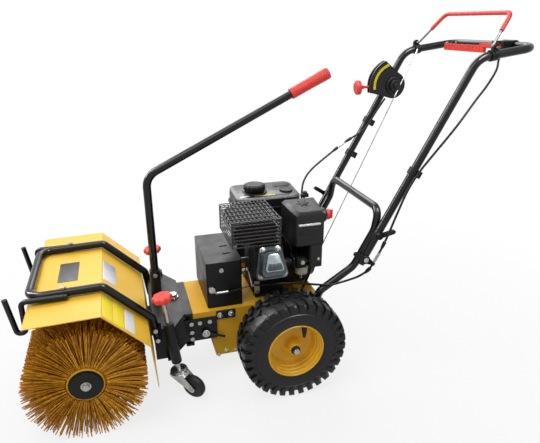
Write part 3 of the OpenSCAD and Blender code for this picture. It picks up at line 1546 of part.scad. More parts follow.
// One brush half as a single skin: every cell of a cylinder rises into a flared tuft
module brush_half(side) {
    y0 = gearbox_w / 2 + brush_gap;
    dy = (brush_l / 2 - y0) / tuft_along;
    da = 360 / tuft_round;
    rc = core_d / 2;
    rb = (brush_shaft_d / 2 + core_bore) / cos(da / 2);
    tip_r = sqrt((brush_d / 2) ^ 2 - (tuft_tip_w / 2) ^ 2);
    b0 = (1 - tuft_base_share) / 2;
    insets = [[b0, b0], [1 - b0, b0], [1 - b0, 1 - b0], [b0, 1 - b0]];
    signs = [[-1, -1], [1, -1], [1, 1], [-1, 1]];
    grid = [for (j = [0:tuft_along], i = [0:tuft_round - 1]) [rc * cos(i * da), y0 + j * dy, rc * sin(i * da)]];
    bore = [for (j = [0, 1], i = [0:tuft_round - 1])
        [rb * cos(i * da), j == 0 ? y0 : brush_l / 2, rb * sin(i * da)]];
    n = tuft_round;
    cells = [for (j = [0:tuft_along - 1], i = [0:n - 1]) [i, j]];
    bases = [for (c = cells, s = insets)
        let (p = grid[c[1] * n + c[0]], q = grid[c[1] * n + (c[0] + 1) % n])
        p + s[0] * (q - p) + [0, s[1] * dy, 0]];
    tips = [for (c = cells, s = signs)
        let (lean = tuft_lean * sin(137 * c[0] + 71 * c[1]), a = (c[0] + 0.5) * da + lean)
        let (r = tip_r, w = tuft_tip_w / 2)
        [r * cos(a) - s[0] * w * sin(a), y0 + (c[1] + 0.5) * dy + s[1] * w, r * sin(a) + s[0] * w * cos(a)]];
    at_bore = len(grid);
    at_base = at_bore + len(bore);
    at_tip = at_base + len(bases);
    quads = concat(
        [for (k = [0:len(cells) - 1], e = [0:3])
            let (i = cells[k][0], j = cells[k][1], i2 = (i + 1) % n)
            let (g = [j * n + i, j * n + i2, (j + 1) * n + i2, (j + 1) * n + i], b = at_base + 4 * k, f = (e + 1) % 4)
            [g[e], g[f], b + f, b + e]],
        [for (k = [0:len(cells) - 1], e = [0:3])
            let (b = at_base + 4 * k, t = at_tip + 4 * k, f = (e + 1) % 4) [b + e, b + f, t + f, t + e]],
        [for (k = [0:len(cells) - 1]) let (t = at_tip + 4 * k) [t, t + 1, t + 2, t + 3]],
        [for (i = [0:n - 1]) let (i2 = (i + 1) % n, b = at_bore) [b + i, b + n + i, b + n + i2, b + i2]],
        [for (i = [0:n - 1]) let (i2 = (i + 1) % n, b = at_bore) [b + i, b + i2, i2, i]],
        [for (i = [0:n - 1])
            let (i2 = (i + 1) % n, b = at_bore + n, g = tuft_along * n) [g + i, g + i2, b + i2, b + i]]);
    faces = [for (q = quads, f = [[q[0], q[1], q[2]], [q[0], q[2], q[3]]]) f];
    color(tan_bristle) translate([-brush_x, 0, brush_z]) rotate([0, 0, side > 0 ? 0 : 180])
        polyhedron(concat(grid, bore, bases, tips), faces);
}

module caster_stem(side) {
    foot = fork_top + fork_head_h + gap;
    color(zinc) on_caster(side) {
        translate([0, 0, foot]) cylinder(h = up_axis(caster_top_z) - foot, d = stem_d);
        translate([0, 0, foot - gap - fork_head_h / 2])
            cylinder(h = fork_head_h / 2 + gap + over, d = stem_d / 2);
    }
}

module caster_knob(side) {
    color(red) on_caster(side) translate([0, 0, up_axis(caster_top_z) + gap]) {
        cylinder(h = knob_h, d = knob_d - knob_lobe_d / 2);
        for (i = [0:knob_lobes - 1]) rotate([0, 0, 360 * i / knob_lobes])
            translate([knob_d / 2 - knob_lobe_d / 2, 0, knob_h / 5]) cylinder(h = knob_h * 3 / 5, d = knob_lobe_d);
    }
}

// Fork cheek outline: local X along the trail, local Z up the stem
module fork_cheek() {
    hull() {
        translate([caster_trail, caster_hub_up]) circle(fork_foot_r, $fn = 32);
        translate([0, fork_top - fork_t]) square([fork_root_w, over], center = true);
    }
}

module caster_fork(side) {
    cheek_y = caster_w / 2 + fork_gap;
    color(zinc) on_fork(side) difference() {
        union() {
            for (y = [-cheek_y - fork_t, cheek_y]) translate([0, y + fork_t, 0]) rotate([90, 0, 0])
                linear_extrude(fork_t) fork_cheek();
            translate([-fork_root_w / 2, -cheek_y - fork_t, fork_top - fork_t])
                cube([fork_root_w, 2 * (cheek_y + fork_t), fork_t]);
            translate([0, 0, fork_top - over]) cylinder(h = fork_head_h + over, r = fork_head_r);
            translate([caster_trail, 0, caster_hub_up]) rotate([90, 0, 0])
                cylinder(h = 2 * (cheek_y + 2 * fork_t), d = caster_pin_d, center = true);
        }
        translate([0, 0, fork_top]) cylinder(h = fork_head_h + over, d = stem_d / 2 + 2 * fit);
    }
}

module caster_wheel(side) {
    color(black) on_fork(side) translate([caster_trail, 0, caster_hub_up]) rotate([90, 0, 0])
        rotate_extrude() difference() {
            union() {
                translate([caster_d / 4, 0]) round_rect(caster_d / 2, caster_w, caster_crown);
                translate([0, -caster_w / 2]) square([caster_d / 4, caster_w]);
            }
            translate([-caster_d / 2, -caster_w]) square([caster_d / 2 + caster_pin_d / 2 + fit, 2 * caster_w]);
        }
}

module clutch_cable() { color(black) cable(clutch_route, cable_d, 3); }
module throttle_cable() { color(black) cable(throttle_route, cable_d, 3); }
module drive_wire() { color(zinc) cable(drive_route, wire_d, 1); }

chassis();
axle_gearbox();
hitch();
frame_bolts();
belt_cover();
engine_block();
valve_cover();
muffler();
muffler_guard();
air_box();
carburettor();
fuel_tank();
fan_housing();
drive_belt();
lower_handle();
lock_handle();
axle();
rim(-1);  // rim_left
rim(1);  // rim_right
tyre(-1);  // tyre_left
tyre(1);  // tyre_right
crank_pulley();
driven_pulley();
pto_shaft();
clutch_arm();
fuel_cap();
stop_knob();
head_bracket();
hood();
guard_frame();
lever_tube();
lever_grip();
head_bolts();
gearbox();
worm_shaft();
brush_shaft();
brush_half(-1);  // brush_left
brush_half(1);  // brush_right
end_discs();
caster_stem(-1);  // caster_stem_left
caster_stem(1);  // caster_stem_right
caster_knob(-1);  // caster_knob_left
caster_knob(1);  // caster_knob_right
caster_fork(-1);  // caster_fork_left
caster_fork(1);  // caster_fork_right
caster_wheel(-1);  // caster_wheel_left
caster_wheel(1);  // caster_wheel_right
upper_handle();
handle_clips();
throttle_console();
clutch_housing();
throttle_lever();
clutch_lever();
bail_rod();
bail_grip();
cam_lever(-1, cam_left_turn);  // cam_lever_left
cam_lever(1, cam_right_turn);  // cam_lever_right
clutch_cable();
throttle_cable();
drive_wire();
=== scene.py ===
import json
import random
from math import cos, pi, radians, sin, sqrt

import bmesh
import bpy
from mathutils import Matrix, Vector


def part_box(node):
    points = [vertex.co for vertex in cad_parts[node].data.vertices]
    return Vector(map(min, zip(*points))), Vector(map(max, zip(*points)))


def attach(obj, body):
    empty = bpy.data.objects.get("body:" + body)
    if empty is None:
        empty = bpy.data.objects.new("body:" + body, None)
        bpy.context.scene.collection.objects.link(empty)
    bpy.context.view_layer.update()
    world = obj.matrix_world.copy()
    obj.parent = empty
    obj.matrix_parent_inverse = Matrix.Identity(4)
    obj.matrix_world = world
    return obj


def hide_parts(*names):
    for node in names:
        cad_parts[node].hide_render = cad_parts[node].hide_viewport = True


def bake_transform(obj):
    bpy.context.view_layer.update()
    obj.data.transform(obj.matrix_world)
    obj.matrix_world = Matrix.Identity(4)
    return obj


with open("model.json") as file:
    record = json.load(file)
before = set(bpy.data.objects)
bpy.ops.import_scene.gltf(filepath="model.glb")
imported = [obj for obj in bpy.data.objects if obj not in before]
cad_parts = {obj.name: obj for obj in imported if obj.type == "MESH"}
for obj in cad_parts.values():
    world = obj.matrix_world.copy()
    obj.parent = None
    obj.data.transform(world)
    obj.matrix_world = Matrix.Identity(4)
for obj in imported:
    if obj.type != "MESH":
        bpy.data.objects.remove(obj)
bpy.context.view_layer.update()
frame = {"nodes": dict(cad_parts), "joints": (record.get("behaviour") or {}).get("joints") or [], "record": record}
scene = bpy.context.scene
scene.view_settings.view_transform = "Standard"


# The frame's directions, and a millimetre in metres: shapes are in millimetres, lights and camera in metres

MM = 0.001
BACK = Vector((1, 0, 0))
FRONT = Vector((-1, 0, 0))
RIGHT = Vector((0, 1, 0))
LEFT = Vector((0, -1, 0))
UP = Vector((0, 0, 1))
DOWN = Vector((0, 0, -1))
SIDES = (("left", -1), ("right", 1))
WHITE = (1.0, 1.0, 1.0, 1.0)


# Materials

SRGB_KNEE = 10  # 8-bit value up to which sRGB is a straight line
SRGB_LINE = 3294  # divisor of that line
MIX_A, MIX_B, MIX_OUT = 6, 7, 2  # colour sockets of a mix node
EDGE_SAMPLES = 4

# Radii of rounded edges, in metres
PAINT_ROUND = 0.0012
GUARD_ROUND = 0.0008
PLATE_ROUND = 0.0003
PLASTIC_ROUND = 0.0009
METAL_ROUND = 0.0007
RUBBER_ROUND = 0.0008
# Reach of the paler colour that paints a highlight along a paint's edges
EDGE_HIGHLIGHT_REACH = 0.0016

# Depths of bumps, in metres
PEEL_DEPTH = 0.00006
GRAIN_DEPTH = 0.00012
SKIN_DEPTH = 0.0002
WAVE_DEPTH = 0.0004
PAINT_WAVE_SHARE, RUBBER_WAVE_SHARE = 0.35, 0.5  # strength of the waves beside the grain's
SPECK_GAIN, SPECK_LIFT = 1.12, 0.004  # how much paler the specks of a paint are


def srgb(r, g, b):
    """An 8-bit sRGB colour as linear colour with alpha."""
    linear = [((c / 255 + 0.055) / 1.055) ** 2.4 if c > SRGB_KNEE else c / SRGB_LINE for c in (r, g, b)]
    return tuple(linear) + (1.0,)


def plug(tree, socket, value):
    """Links an input socket to another node's output, or sets its value."""
    if isinstance(value, bpy.types.NodeSocket):
        tree.links.new(value, socket)
    else:
        socket.default_value = value


def add_node(tree, kind, inputs=None, **settings):
    """A new node with its settings, and with a link or a value for each input named."""
    node = tree.nodes.new("ShaderNode" + kind)
    for name, value in settings.items():
        setattr(node, name, value)
    for name, value in (inputs or {}).items():
        plug(tree, node.inputs[name], value)
    return node


class Surface:
    """A procedural material: colour that varies, roughness that varies and a fine bump."""

    def __init__(self, name, metallic=0.0, specular=0.5):
        self.material = bpy.data.materials.new(name)
        self.material.use_nodes = True
        self.tree = self.material.node_tree
        self.shader = self.tree.nodes["Principled BSDF"]
        self.look("Metallic", metallic)
        self.look("Specular IOR Level", specular)
        self.coord = self.node("TexCoord").outputs["Object"]
        self.normal = None

    def node(self, kind, inputs=None, **settings):
        return add_node(self.tree, kind, inputs, **settings)

    def look(self, name, value):
        plug(self.tree, self.shader.inputs[name], value)

    def noise(self, scale, detail, rough=0.55, stretch=None):
        source = self.coord
        if stretch:
            source = self.node("Mapping", {"Scale": stretch, "Vector": source}).outputs["Vector"]
        inputs = {"Scale": scale, "Detail": detail, "Roughness": rough, "Vector": source}
        return self.node("TexNoise", inputs).outputs["Fac"]

    def cells(self, scale, output):
        return self.node("TexVoronoi", {"Scale": scale, "Vector": self.coord}).outputs[output]

    def spread(self, value, low=0.0, high=1.0, start=0.3, stop=0.7):
        """The value's range from start to stop, mapped to low to high."""
        inputs = {"Value": value, "From Min": start, "From Max": stop, "To Min": low, "To Max": high}
        return self.node("MapRange", inputs).outputs["Result"]

    def mix(self, share, a, b):
        """Colour a where share is 0, colour b where it is 1."""
        return self.node("Mix", {"Factor": share, MIX_A: a, MIX_B: b}, data_type="RGBA").outputs[MIX_OUT]

    def rough(self, noise, mean, least, most):
        self.look("Roughness", self.spread(noise, mean * least, mean * most))

    def bent_edges(self, radius):
        return self.node("Bevel", {"Radius": radius}, samples=EDGE_SAMPLES).outputs["Normal"]

    def round_edges(self, radius):
        self.normal = self.bent_edges(radius)
        self.look("Normal", self.normal)

    def bump(self, height, depth, strength):
        inputs = {"Distance": depth, "Strength": strength, "Height": height}
        if self.normal:
            inputs["Normal"] = self.normal
        self.normal = self.node("Bump", inputs).outputs["Normal"]
        self.look("Normal", self.normal)

    def edge_mask(self, radius):
        """1 on edges, 0 elsewhere."""
        flat = self.node("NewGeometry").outputs["Normal"]
        dot = self.node("VectorMath", {0: self.bent_edges(radius), 1: flat}, operation="DOT_PRODUCT")
        return self.spread(dot.outputs["Value"], low=1.0, high=0.0, start=0.80, stop=0.97)


def paint(name, a, b, rough, peel, specular=0.5, edge=None, bevel=PAINT_ROUND):
    """Paint in two close colours, with pale specks and waves. An edge colour paints a highlight along its edges. A
    bevel adds round edges and orange peel.
    """
    a, b = srgb(*a), srgb(*b)
    s = Surface(name, specular=specular)
    base = s.mix(s.spread(s.noise(scale=7, detail=4)), a, b)
    pale = tuple(min(1, c * SPECK_GAIN + SPECK_LIFT) for c in b[:3]) + (1.0,)
    base = s.mix(s.spread(s.noise(scale=900, detail=2), start=0.66, stop=0.78), base, pale)
    # Painted highlight: the paler edge colour along the edges
    if edge:
        base = s.mix(s.edge_mask(EDGE_HIGHLIGHT_REACH), base, srgb(*edge))
    s.look("Base Color", base)
    s.rough(s.noise(scale=24, detail=5), rough, least=0.82, most=1.22)
    if bevel:
        s.round_edges(bevel)
        s.bump(s.noise(scale=420, detail=2), PEEL_DEPTH, peel)
    s.bump(s.noise(scale=38, detail=3), WAVE_DEPTH, peel * PAINT_WAVE_SHARE)
    return s.material


def plastic(name, a, b, rough, grain, cells=1500, specular=0.2, bevel=PLASTIC_ROUND):
    """Moulded plastic: grained with rounded edges or, without a bevel, smooth with soft waves."""
    s = Surface(name, specular=specular)
    s.look("Base Color", s.mix(s.spread(s.noise(scale=16, detail=4)), srgb(*a), srgb(*b)))
    s.rough(s.noise(scale=60, detail=4), rough, least=0.85, most=1.2)
    if bevel:
        s.round_edges(bevel)
        s.bump(s.cells(cells, "Distance"), GRAIN_DEPTH, grain)
    else:
        s.bump(s.noise(scale=38, detail=3), WAVE_DEPTH, grain)
    return s.material


def metal(name, a, b, rough, grain, scale, stretch=None, metallic=1.0, specular=0.5):
    """Cast, plated or drawn metal, with spangles of the first colour."""
    s = Surface(name, metallic=metallic, specular=specular)
    a, b = srgb(*a), srgb(*b)
    base = s.mix(s.spread(s.noise(scale=30, detail=5)), a, b)
    spangle = s.spread(s.cells(140, "Color"), high=0.35, start=0, stop=1)
    s.look("Base Color", s.mix(spangle, base, a))
    s.rough(s.noise(scale=90, detail=4, stretch=stretch), rough, least=0.75, most=1.3)
    s.round_edges(METAL_ROUND)
    s.bump(s.noise(scale, detail=3, stretch=stretch), GRAIN_DEPTH, grain)
    return s.material


def rubber(name, a, b, rough, grain):
    """Black rubber with patches of dust."""
    s = Surface(name, specular=0.28)
    dust = s.spread(s.noise(scale=11, detail=6, rough=0.65), start=0.42, stop=0.75)
    s.look("Base Color", s.mix(dust, srgb(*a), srgb(*b)))
    s.rough(s.noise(scale=45, detail=4), rough, least=0.85, most=1.15)
    s.round_edges(RUBBER_ROUND)
    s.bump(s.noise(scale=700, detail=3), SKIN_DEPTH, grain)
    s.bump(s.noise(scale=90, detail=2), WAVE_DEPTH, grain * RUBBER_WAVE_SHARE)
    return s.material


def strands(name, pale, deep, stain):
    """Bristles, each strand in its own shade between two colours, with stains."""
    s = Surface(name, specular=0.15)
    each = s.node("NewGeometry").outputs["Random Per Island"]
    stains = s.spread(s.noise(scale=60, detail=3), start=0.4, stop=0.8)
    s.look("Base Color", s.mix(stains, s.mix(each, srgb(*deep), srgb(*pale)), srgb(*stain)))
    s.rough(s.noise(scale=200, detail=2), 1, least=0.34, most=0.55)
    s.bump(s.noise(scale=500, detail=2), SKIN_DEPTH, strength=0.35)
    return s.material


# 8-bit colours first, then roughness and strength of grain, and for metals and some plastics its scale
MATERIALS = {
    # A paint's edge colour is a painted highlight along its edges
    "yellow_paint": paint(
        "yellow_powder_coat", (240, 192, 54), (234, 183, 44), 0.36, 0.35, specular=0.4, edge=(246, 208, 92)),
    "black_paint": paint(
        "black_powder_coat", (12, 12, 13), (17, 17, 18), 0.4, 0.45, specular=0.22, edge=(40, 40, 42)),
    # The yellow paint made darker: painted shade on the chassis and the brush's end rings, with a painted
    # highlight on its edges
    "shaded_yellow_paint": paint(
        "yellow_coat_in_painted_shade", (222, 170, 40), (212, 159, 32), 0.5, 0.35, specular=0.14, edge=(240, 196, 76)),
    "rim_paint": paint("rim_enamel", (234, 184, 48), (226, 174, 40), 0.3, 0.2, specular=0.3),
    "tube_paint": paint("black_gloss_enamel", (11, 11, 12), (15, 15, 16), 0.2, 0.03, specular=0.3, bevel=0),
    # Pale edges that paint a highlight on the guard's bars and wires
    "guard_paint": paint(
        "guard_enamel", (18, 18, 19), (26, 26, 27), 0.34, 0.4, specular=0.4, edge=(120, 120, 120),
        bevel=GUARD_ROUND),
    "plate_black": paint("plate_black", (38, 37, 36), (46, 45, 44), 0.45, 0.2, bevel=PLATE_ROUND),
    "plate_white": paint("plate_white", (226, 226, 222), (214, 214, 210), 0.5, 0.2, bevel=PLATE_ROUND),
    "plate_yellow": paint("plate_yellow", (244, 224, 38), (238, 214, 30), 0.45, 0.2, bevel=PLATE_ROUND),
    "tank_plastic": plastic("tank_plastic", (52, 52, 54), (62, 62, 64), 0.34, 0.2, 1100, specular=0.5),
    "black_plastic": plastic("black_moulded_plastic", (13, 13, 14), (19, 19, 20), 0.42, 0.3),
    "dark_plastic": plastic(
        "dark_moulded_plastic", (22, 22, 23), (30, 30, 31), 0.38, 0.25, 1100, specular=0.26),
    "red_plastic": plastic(
        "red_moulded_plastic", (242, 82, 72), (236, 72, 64), 0.42, 0.05, specular=0.16, bevel=0),
    "cable_skin": plastic("cable_skin", (12, 12, 13), (18, 18, 19), 0.45, 0.2, 2200),
    "yellow_mark": plastic("yellow_mark", (240, 226, 30), (228, 214, 24), 0.5, 0.2),
    "bowl": plastic("cast_bowl", (196, 192, 172), (176, 170, 148), 0.45, 0.5, 700),
    # The pale casting made darker: painted shade on the valve cover's flange and on the panel's inner plate
    "shaded_casting": metal("casting_in_painted_shade", (84, 91, 94), (60, 66, 69), 0.3, 0.5, 380, metallic=0.9),
    "engine_cast": metal(
        "dark_casting", (16, 16, 17), (26, 26, 27), 0.55, 0.9, 520, metallic=0.2, specular=0.2),
    "silver_cast": metal("pale_casting", (168, 177, 180), (124, 133, 137), 0.22, 0.3, 380),
    "soot": metal("sooty_steel", (24, 22, 20), (40, 36, 31), 0.6, 0.7, 300, metallic=0.4, specular=0.2),
    "zinc": metal("zinc_plate", (176, 176, 170), (134, 134, 130), 0.28, 0.35, 260),
    "wire": metal("steel_wire", (112, 112, 112), (88, 88, 88), 0.38, 0.3, 260),
    "steel": metal("bare_steel", (160, 160, 162), (120, 120, 124), 0.3, 0.5, 180, stretch=(1, 1, 12)),
    "plate_silver": metal(
        "plate_silver", (206, 208, 212), (188, 192, 198), 0.36, 0.3, 700, stretch=(1, 14, 1), metallic=0.85),
    "tyre_rubber": rubber("tyre_rubber", (14, 14, 15), (21, 21, 21), 0.4, 0.35),
    "rubber": rubber("caster_rubber", (19, 19, 20), (27, 27, 28), 0.55, 0.35),
    "bristle": strands("bristle_strands", (238, 176, 54), (184, 118, 18), (138, 84, 10)),
}

# Each solid takes the material of its slot in the record, apart from those named here
FINISHES = {
    # The guard takes the enamel with a painted highlight on its edges
    "muffler_guard": "guard_paint",
    # The chassis takes the yellow paint darkened as painted shade
    "chassis": "shaded_yellow_paint",
    # The valve cover's flange takes the casting darkened as painted shade
    "valve_cover": "shaded_casting",
    "muffler": "soot",
    "bail_rod": "wire",
}
for node in ("lower_handle", "upper_handle", "lever_tube", "guard_frame"):
    FINISHES[node] = "tube_paint"
slots = {part["node"]: part["material_slot"] for part in frame["record"]["subparts"]}
for node, solid in frame["nodes"].items():
    finish = MATERIALS[FINISHES.get(node, slots[node])]
    if solid.material_slots:
        for place in solid.material_slots:
            place.material = finish
    else:
        solid.data.materials.append(finish)


# Mesh building

CORNER_STEPS = 5  # stretches of a plate's round corner
LOBE_STEPS = 12  # stretches of a lobe
CABLE_STEPS, LINE_STEPS, BEND_STEPS = 6, 5, 4  # stretches between two points of a path
PLATE_BEVEL_SHARE = 0.4  # of a plate's thickness
SOFT_SHARE = 0.3  # where the middle of a soft bevel stands
WASHER_SHARES = ((0, 0.86), (0.1, 0.86), (0.14, 0.8))  # a washer's profile, of the size over the bolt's flats
HEAD_BEVEL_SHARE = 0.16  # of a bolt head's height
STEEP = 0.9  # rise of a direction that counts as upright


def side_axes(d):
    """Two directions square to d and to each other."""
    d = Vector(d).normalized()
    a = d.cross(UP if abs(d.z) < STEEP else BACK).normalized()
    return a, d.cross(a)


def circle(a, b, n):
    """n unit vectors round the plane of a and b."""
    turns = [2 * pi * k / n for k in range(n)]
    return [cos(q) * a + sin(q) * b for q in turns]


def rounded(x0, y0, x1, y1, r, steps):
    """The outline of a rectangle with round corners."""
    outline = []
    corners = ((x1 - r, y1 - r, 0), (x0 + r, y1 - r, 90), (x0 + r, y0 + r, 180), (x1 - r, y0 + r, 270))
    for x, y, start in corners:
        for k in range(steps + 1):
            q = radians(start + 90 * k / steps)
            outline.append((x + r * cos(q), y + r * sin(q)))
    return outline


def smooth_path(points, per):
    """A curve through the points (Catmull-Rom), with so many steps per stretch."""
    p = [Vector(q) for q in points]
    out = []
    for i in range(len(p) - 1):
        a, b, c, d = p[max(i - 1, 0)], p[i], p[i + 1], p[min(i + 2, len(p) - 1)]
        for k in range(per):
            t = k / per
            square = (2 * a - 5 * b + 4 * c - d) * t * t
            cube = (3 * b - a - 3 * c + d) * t**3
            out.append(0.5 * (2 * b + (c - a) * t + square + cube))
    return out + [p[-1]]


def quads(rows, n, closed=False):
    """The faces between rows of n points, with the last row joined to the first if closed."""
    faces = []
    for i in range(rows if closed else rows - 1):
        up = (i + 1) % rows
        for k in range(n):
            j = (k + 1) % n
            faces.append((i * n + k, i * n + j, up * n + j, up * n + k))
    return faces


def capped(rows, n):
    """The faces between rows of n points, and one on each end."""
    ends = [tuple(range(n - 1, -1, -1)), tuple((rows - 1) * n + k for k in range(n))]
    return quads(rows, n) + ends


class Shape:
    """Collects faces in millimetres, with a material for each, and makes one object of them."""

    def __init__(self):
        self.verts = []
        self.faces = []
        self.face_mats = []
        self.mats = []

    def add(self, verts, faces, mat):
        if mat not in self.mats:
            self.mats.append(mat)
        n = len(self.verts)
        self.verts += [Vector(v) for v in verts]
        self.faces += [tuple(n + i for i in f) for f in faces]
        self.face_mats += [self.mats.index(mat)] * len(faces)

    def tube(self, path, radius, mat, n=12):
        """A round bar along a path, with one radius or one for each point."""
        path = [Vector(p) for p in path]
        last = len(path) - 1
        radii = radius if isinstance(radius, (list, tuple)) else [radius] * len(path)
        a = side_axes(path[1] - path[0])[0]
        verts = []
        for i, p in enumerate(path):
            t = (path[min(i + 1, last)] - path[max(i - 1, 0)]).normalized()
            a = (a - t * a.dot(t)).normalized()
            verts += [p + radii[i] * q for q in circle(a, t.cross(a), n)]
        self.add(verts, capped(len(path), n), mat)

    def lathe(self, origin, axis, profile, mat, n=40, closed=False, lobes=0):
        """A turned form. profile is (distance along axis, radius and, with lobes, depth of the scallops)."""
        o, d = Vector(origin), Vector(axis).normalized()
        turns = circle(*side_axes(d), n)
        waves = [(0.5 - 0.5 * cos(lobes * 2 * pi * k / n)) ** 2 for k in range(n)]
        verts = []
        for s, r, *depth in profile:
            radii = [r - depth[0] * wave if lobes else r for wave in waves]
            verts += [o + d * s + radius * q for radius, q in zip(radii, turns)]
        self.add(verts, quads(len(profile), n, closed=True) if closed else capped(len(profile), n), mat)

    def prism(self, origin, u, w, outline, h, mat, bevel=0.0, slope=0.0, soft=True):
        """An outline in the plane of u and w, raised by h. Its top may have a bevel and a slope along w."""
        o, u, w = Vector(origin), Vector(u).normalized(), Vector(w).normalized()
        d = u.cross(w)
        n = len(outline)
        c = Vector((sum(p[0] for p in outline), sum(p[1] for p in outline))) / n

        def layer(inset, s):
            out = []
            for p in outline:
                q = Vector(p) - c
                q = q * (1 - inset / q.length) + c
                rise = slope * (q.y - c.y) if s else 0
                out.append(o + u * q.x + w * q.y + d * (s + rise))
            return out

        layers = [layer(0, 0), layer(0, h - bevel)]
        if bevel and soft:
            layers.append(layer(bevel * SOFT_SHARE, h - bevel * SOFT_SHARE))
        if bevel:
            layers.append(layer(bevel, h))
        self.add([v for row in layers for v in row], capped(len(layers), n), mat)

    def plate(self, origin, u, w, wide, high, r, t, mat):
        """A thin plate with corners of radius r and a bevelled face, drawn from its lower corner."""
        outline = rounded(0, 0, wide, high, r, CORNER_STEPS)
        self.prism(origin, u, w, outline, t, mat, t * PLATE_BEVEL_SHARE)

    def hexbolt(self, origin, axis, flat, h, washer=True):
        """A zinc bolt's head of the size flat over its flats, on a washer."""
        o, d = Vector(origin), Vector(axis).normalized()
        a, b = side_axes(d)
        if washer:
            self.lathe(o, d, [(flat * s, flat * r) for s, r in WASHER_SHARES], "zinc", n=28)
            o = o + d * flat * WASHER_SHARES[-1][0]
        r = flat / sqrt(3)
        corners = [radians(60 * k) for k in range(6)]
        hexagon = [(r * cos(q), r * sin(q)) for q in corners]
        self.prism(o, a, b, hexagon, h, "zinc", h * HEAD_BEVEL_SHARE)

    def make(self, name, body=None, replaces=None, angle=40):
        """One object of all faces, shaded smooth and sharp at edges over the angle, that rides on a body."""
        mesh = bpy.data.meshes.new(name)
        mesh.from_pydata([v * MM for v in self.verts], [], self.faces)
        for mat in self.mats:
            mesh.materials.append(MATERIALS[mat])
        mesh.polygons.foreach_set("material_index", self.face_mats)
        work = bmesh.new()
        work.from_mesh(mesh)
        bmesh.ops.recalc_face_normals(work, faces=work.faces)
        work.to_mesh(mesh)
        work.free()
        mesh.shade_smooth()
        mesh.set_sharp_from_angle(angle=radians(angle))
        mesh.validate()
        obj = bpy.data.objects.new(name, mesh)
        scene.collection.objects.link(obj)
        if replaces:
            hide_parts(replaces)
        if body:
            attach(obj, body)
        return obj


# Brush, strand by strand

BRUSH = Vector((-605, 0, 168))
CORE_START, CORE_END = 37, 274  # out from the middle of the machine
CORE_BORE_R, CORE_ROOT_R, CORE_R, WINDING_R, CORE_END_R = 20, 56, 57, 59, 52
WINDINGS, WINDING_START, WINDING_PITCH = 34, 37.5, 6.8
LAST_WINDING = 272
END_RING = [(274, 46.4), (284, 46.4), (286, 47), (286.6, 48.4), (286, 49.8), (284, 50.4), (274, 50.4)]
ROWS, STRANDS = 36, 88  # rows a side, strands a row
FIRST_ROW, LAST_ROW = 40, 281
ROOT_R, TIP_R = 55, 167.6
SIDE_IN, SIDE_OUT = 38, 301  # where the tips of a side end
FLARE, FLARE_START, FLARE_SPAN = 20, 190, 92  # outer rows lean out by up to about the flare
STRAND_STEPS = (0.0, 0.3, 0.62, 1.0)
STRAND_THIN, STRAND_THICK, TAPER_SHARE = 1.7, 2.3, 0.12
BEHIND_SHARE, ASIDE_SHARE = 0.5, 0.87  # two corners of a strand's three-sided section
TURN_PLAY, ROW_PLAY, TIP_PLAY, BEND_PLAY, LEAN_PLAY, CURL_PLAY = 0.35, 2.4, 2.4, 0.017, 3, 0.008


def brush_core(s, out):
    """The wound core of one side and the ring round its end disc."""
    profile = [(CORE_START, CORE_BORE_R), (CORE_START, CORE_ROOT_R)]
    for k in range(WINDINGS):
        y = WINDING_START + WINDING_PITCH * k
        profile += [(y, CORE_R), (y + WINDING_PITCH / 2, WINDING_R)]
    profile += [(LAST_WINDING, CORE_R), (CORE_END, CORE_END_R), (CORE_END, CORE_BORE_R)]
    s.lathe(BRUSH, out, profile, "bristle", n=64)
    # The end ring is in the yellow paint darkened as painted shade
    s.lathe(BRUSH, out, END_RING, "shaded_yellow_paint", n=72, closed=True)


def brush_side(tag, sign, seed):
    rng = random.Random(seed)
    s = Shape()
    brush_core(s, (0, sign, 0))
    verts, faces = [], []
    for j in range(ROWS):
        row_y = FIRST_ROW + (LAST_ROW - FIRST_ROW) * j / (ROWS - 1)
        for i in range(STRANDS):
            turn = 2 * pi * (i + 0.5 * (j % 2) + rng.uniform(-TURN_PLAY, TURN_PLAY)) / STRANDS
            y = row_y + rng.uniform(-ROW_PLAY, ROW_PLAY)
            tip_r = TIP_R - abs(rng.gauss(0, TIP_PLAY))
            bend = rng.gauss(0, BEND_PLAY)
            flare = FLARE * max(0, (y - FLARE_START) / FLARE_SPAN) ** 2
            lean = max(SIDE_IN - y, min(flare + rng.gauss(0, LEAN_PLAY), SIDE_OUT - y))
            curl = rng.gauss(0, CURL_PLAY)
            thick = rng.uniform(STRAND_THIN, STRAND_THICK)
            n = len(verts)
            for k, t in enumerate(STRAND_STEPS):
                r = ROOT_R + (tip_r - ROOT_R) * t
                a = turn + bend * t * t + curl * sin(pi * t)
                c = BRUSH + Vector((r * cos(a), sign * (y + lean * t * t), r * sin(a)))
                w = thick * (1 - TAPER_SHARE * t)
                ahead = Vector((-sin(a), 0, cos(a)))
                aside = Vector((0, w * ASIDE_SHARE, 0))
                behind = c - ahead * w * BEHIND_SHARE
                verts += [c + ahead * w, behind + aside, behind - aside]
                if k:
                    low, high = n + 3 * (k - 1), n + 3 * k
                    for q in range(3):
                        p = (q + 1) % 3
                        faces.append((low + q, low + p, high + p, high + q))
            faces.append((high, high + 1, high + 2))
    s.add(verts, faces, "bristle")
    s.make("bristles_" + tag, "brush", replaces="brush_" + tag, angle=70)


brush_side("left", -1, seed=11)
brush_side("right", 1, seed=23)


# Cables, with their boots and adjusters, on the routes of the solids

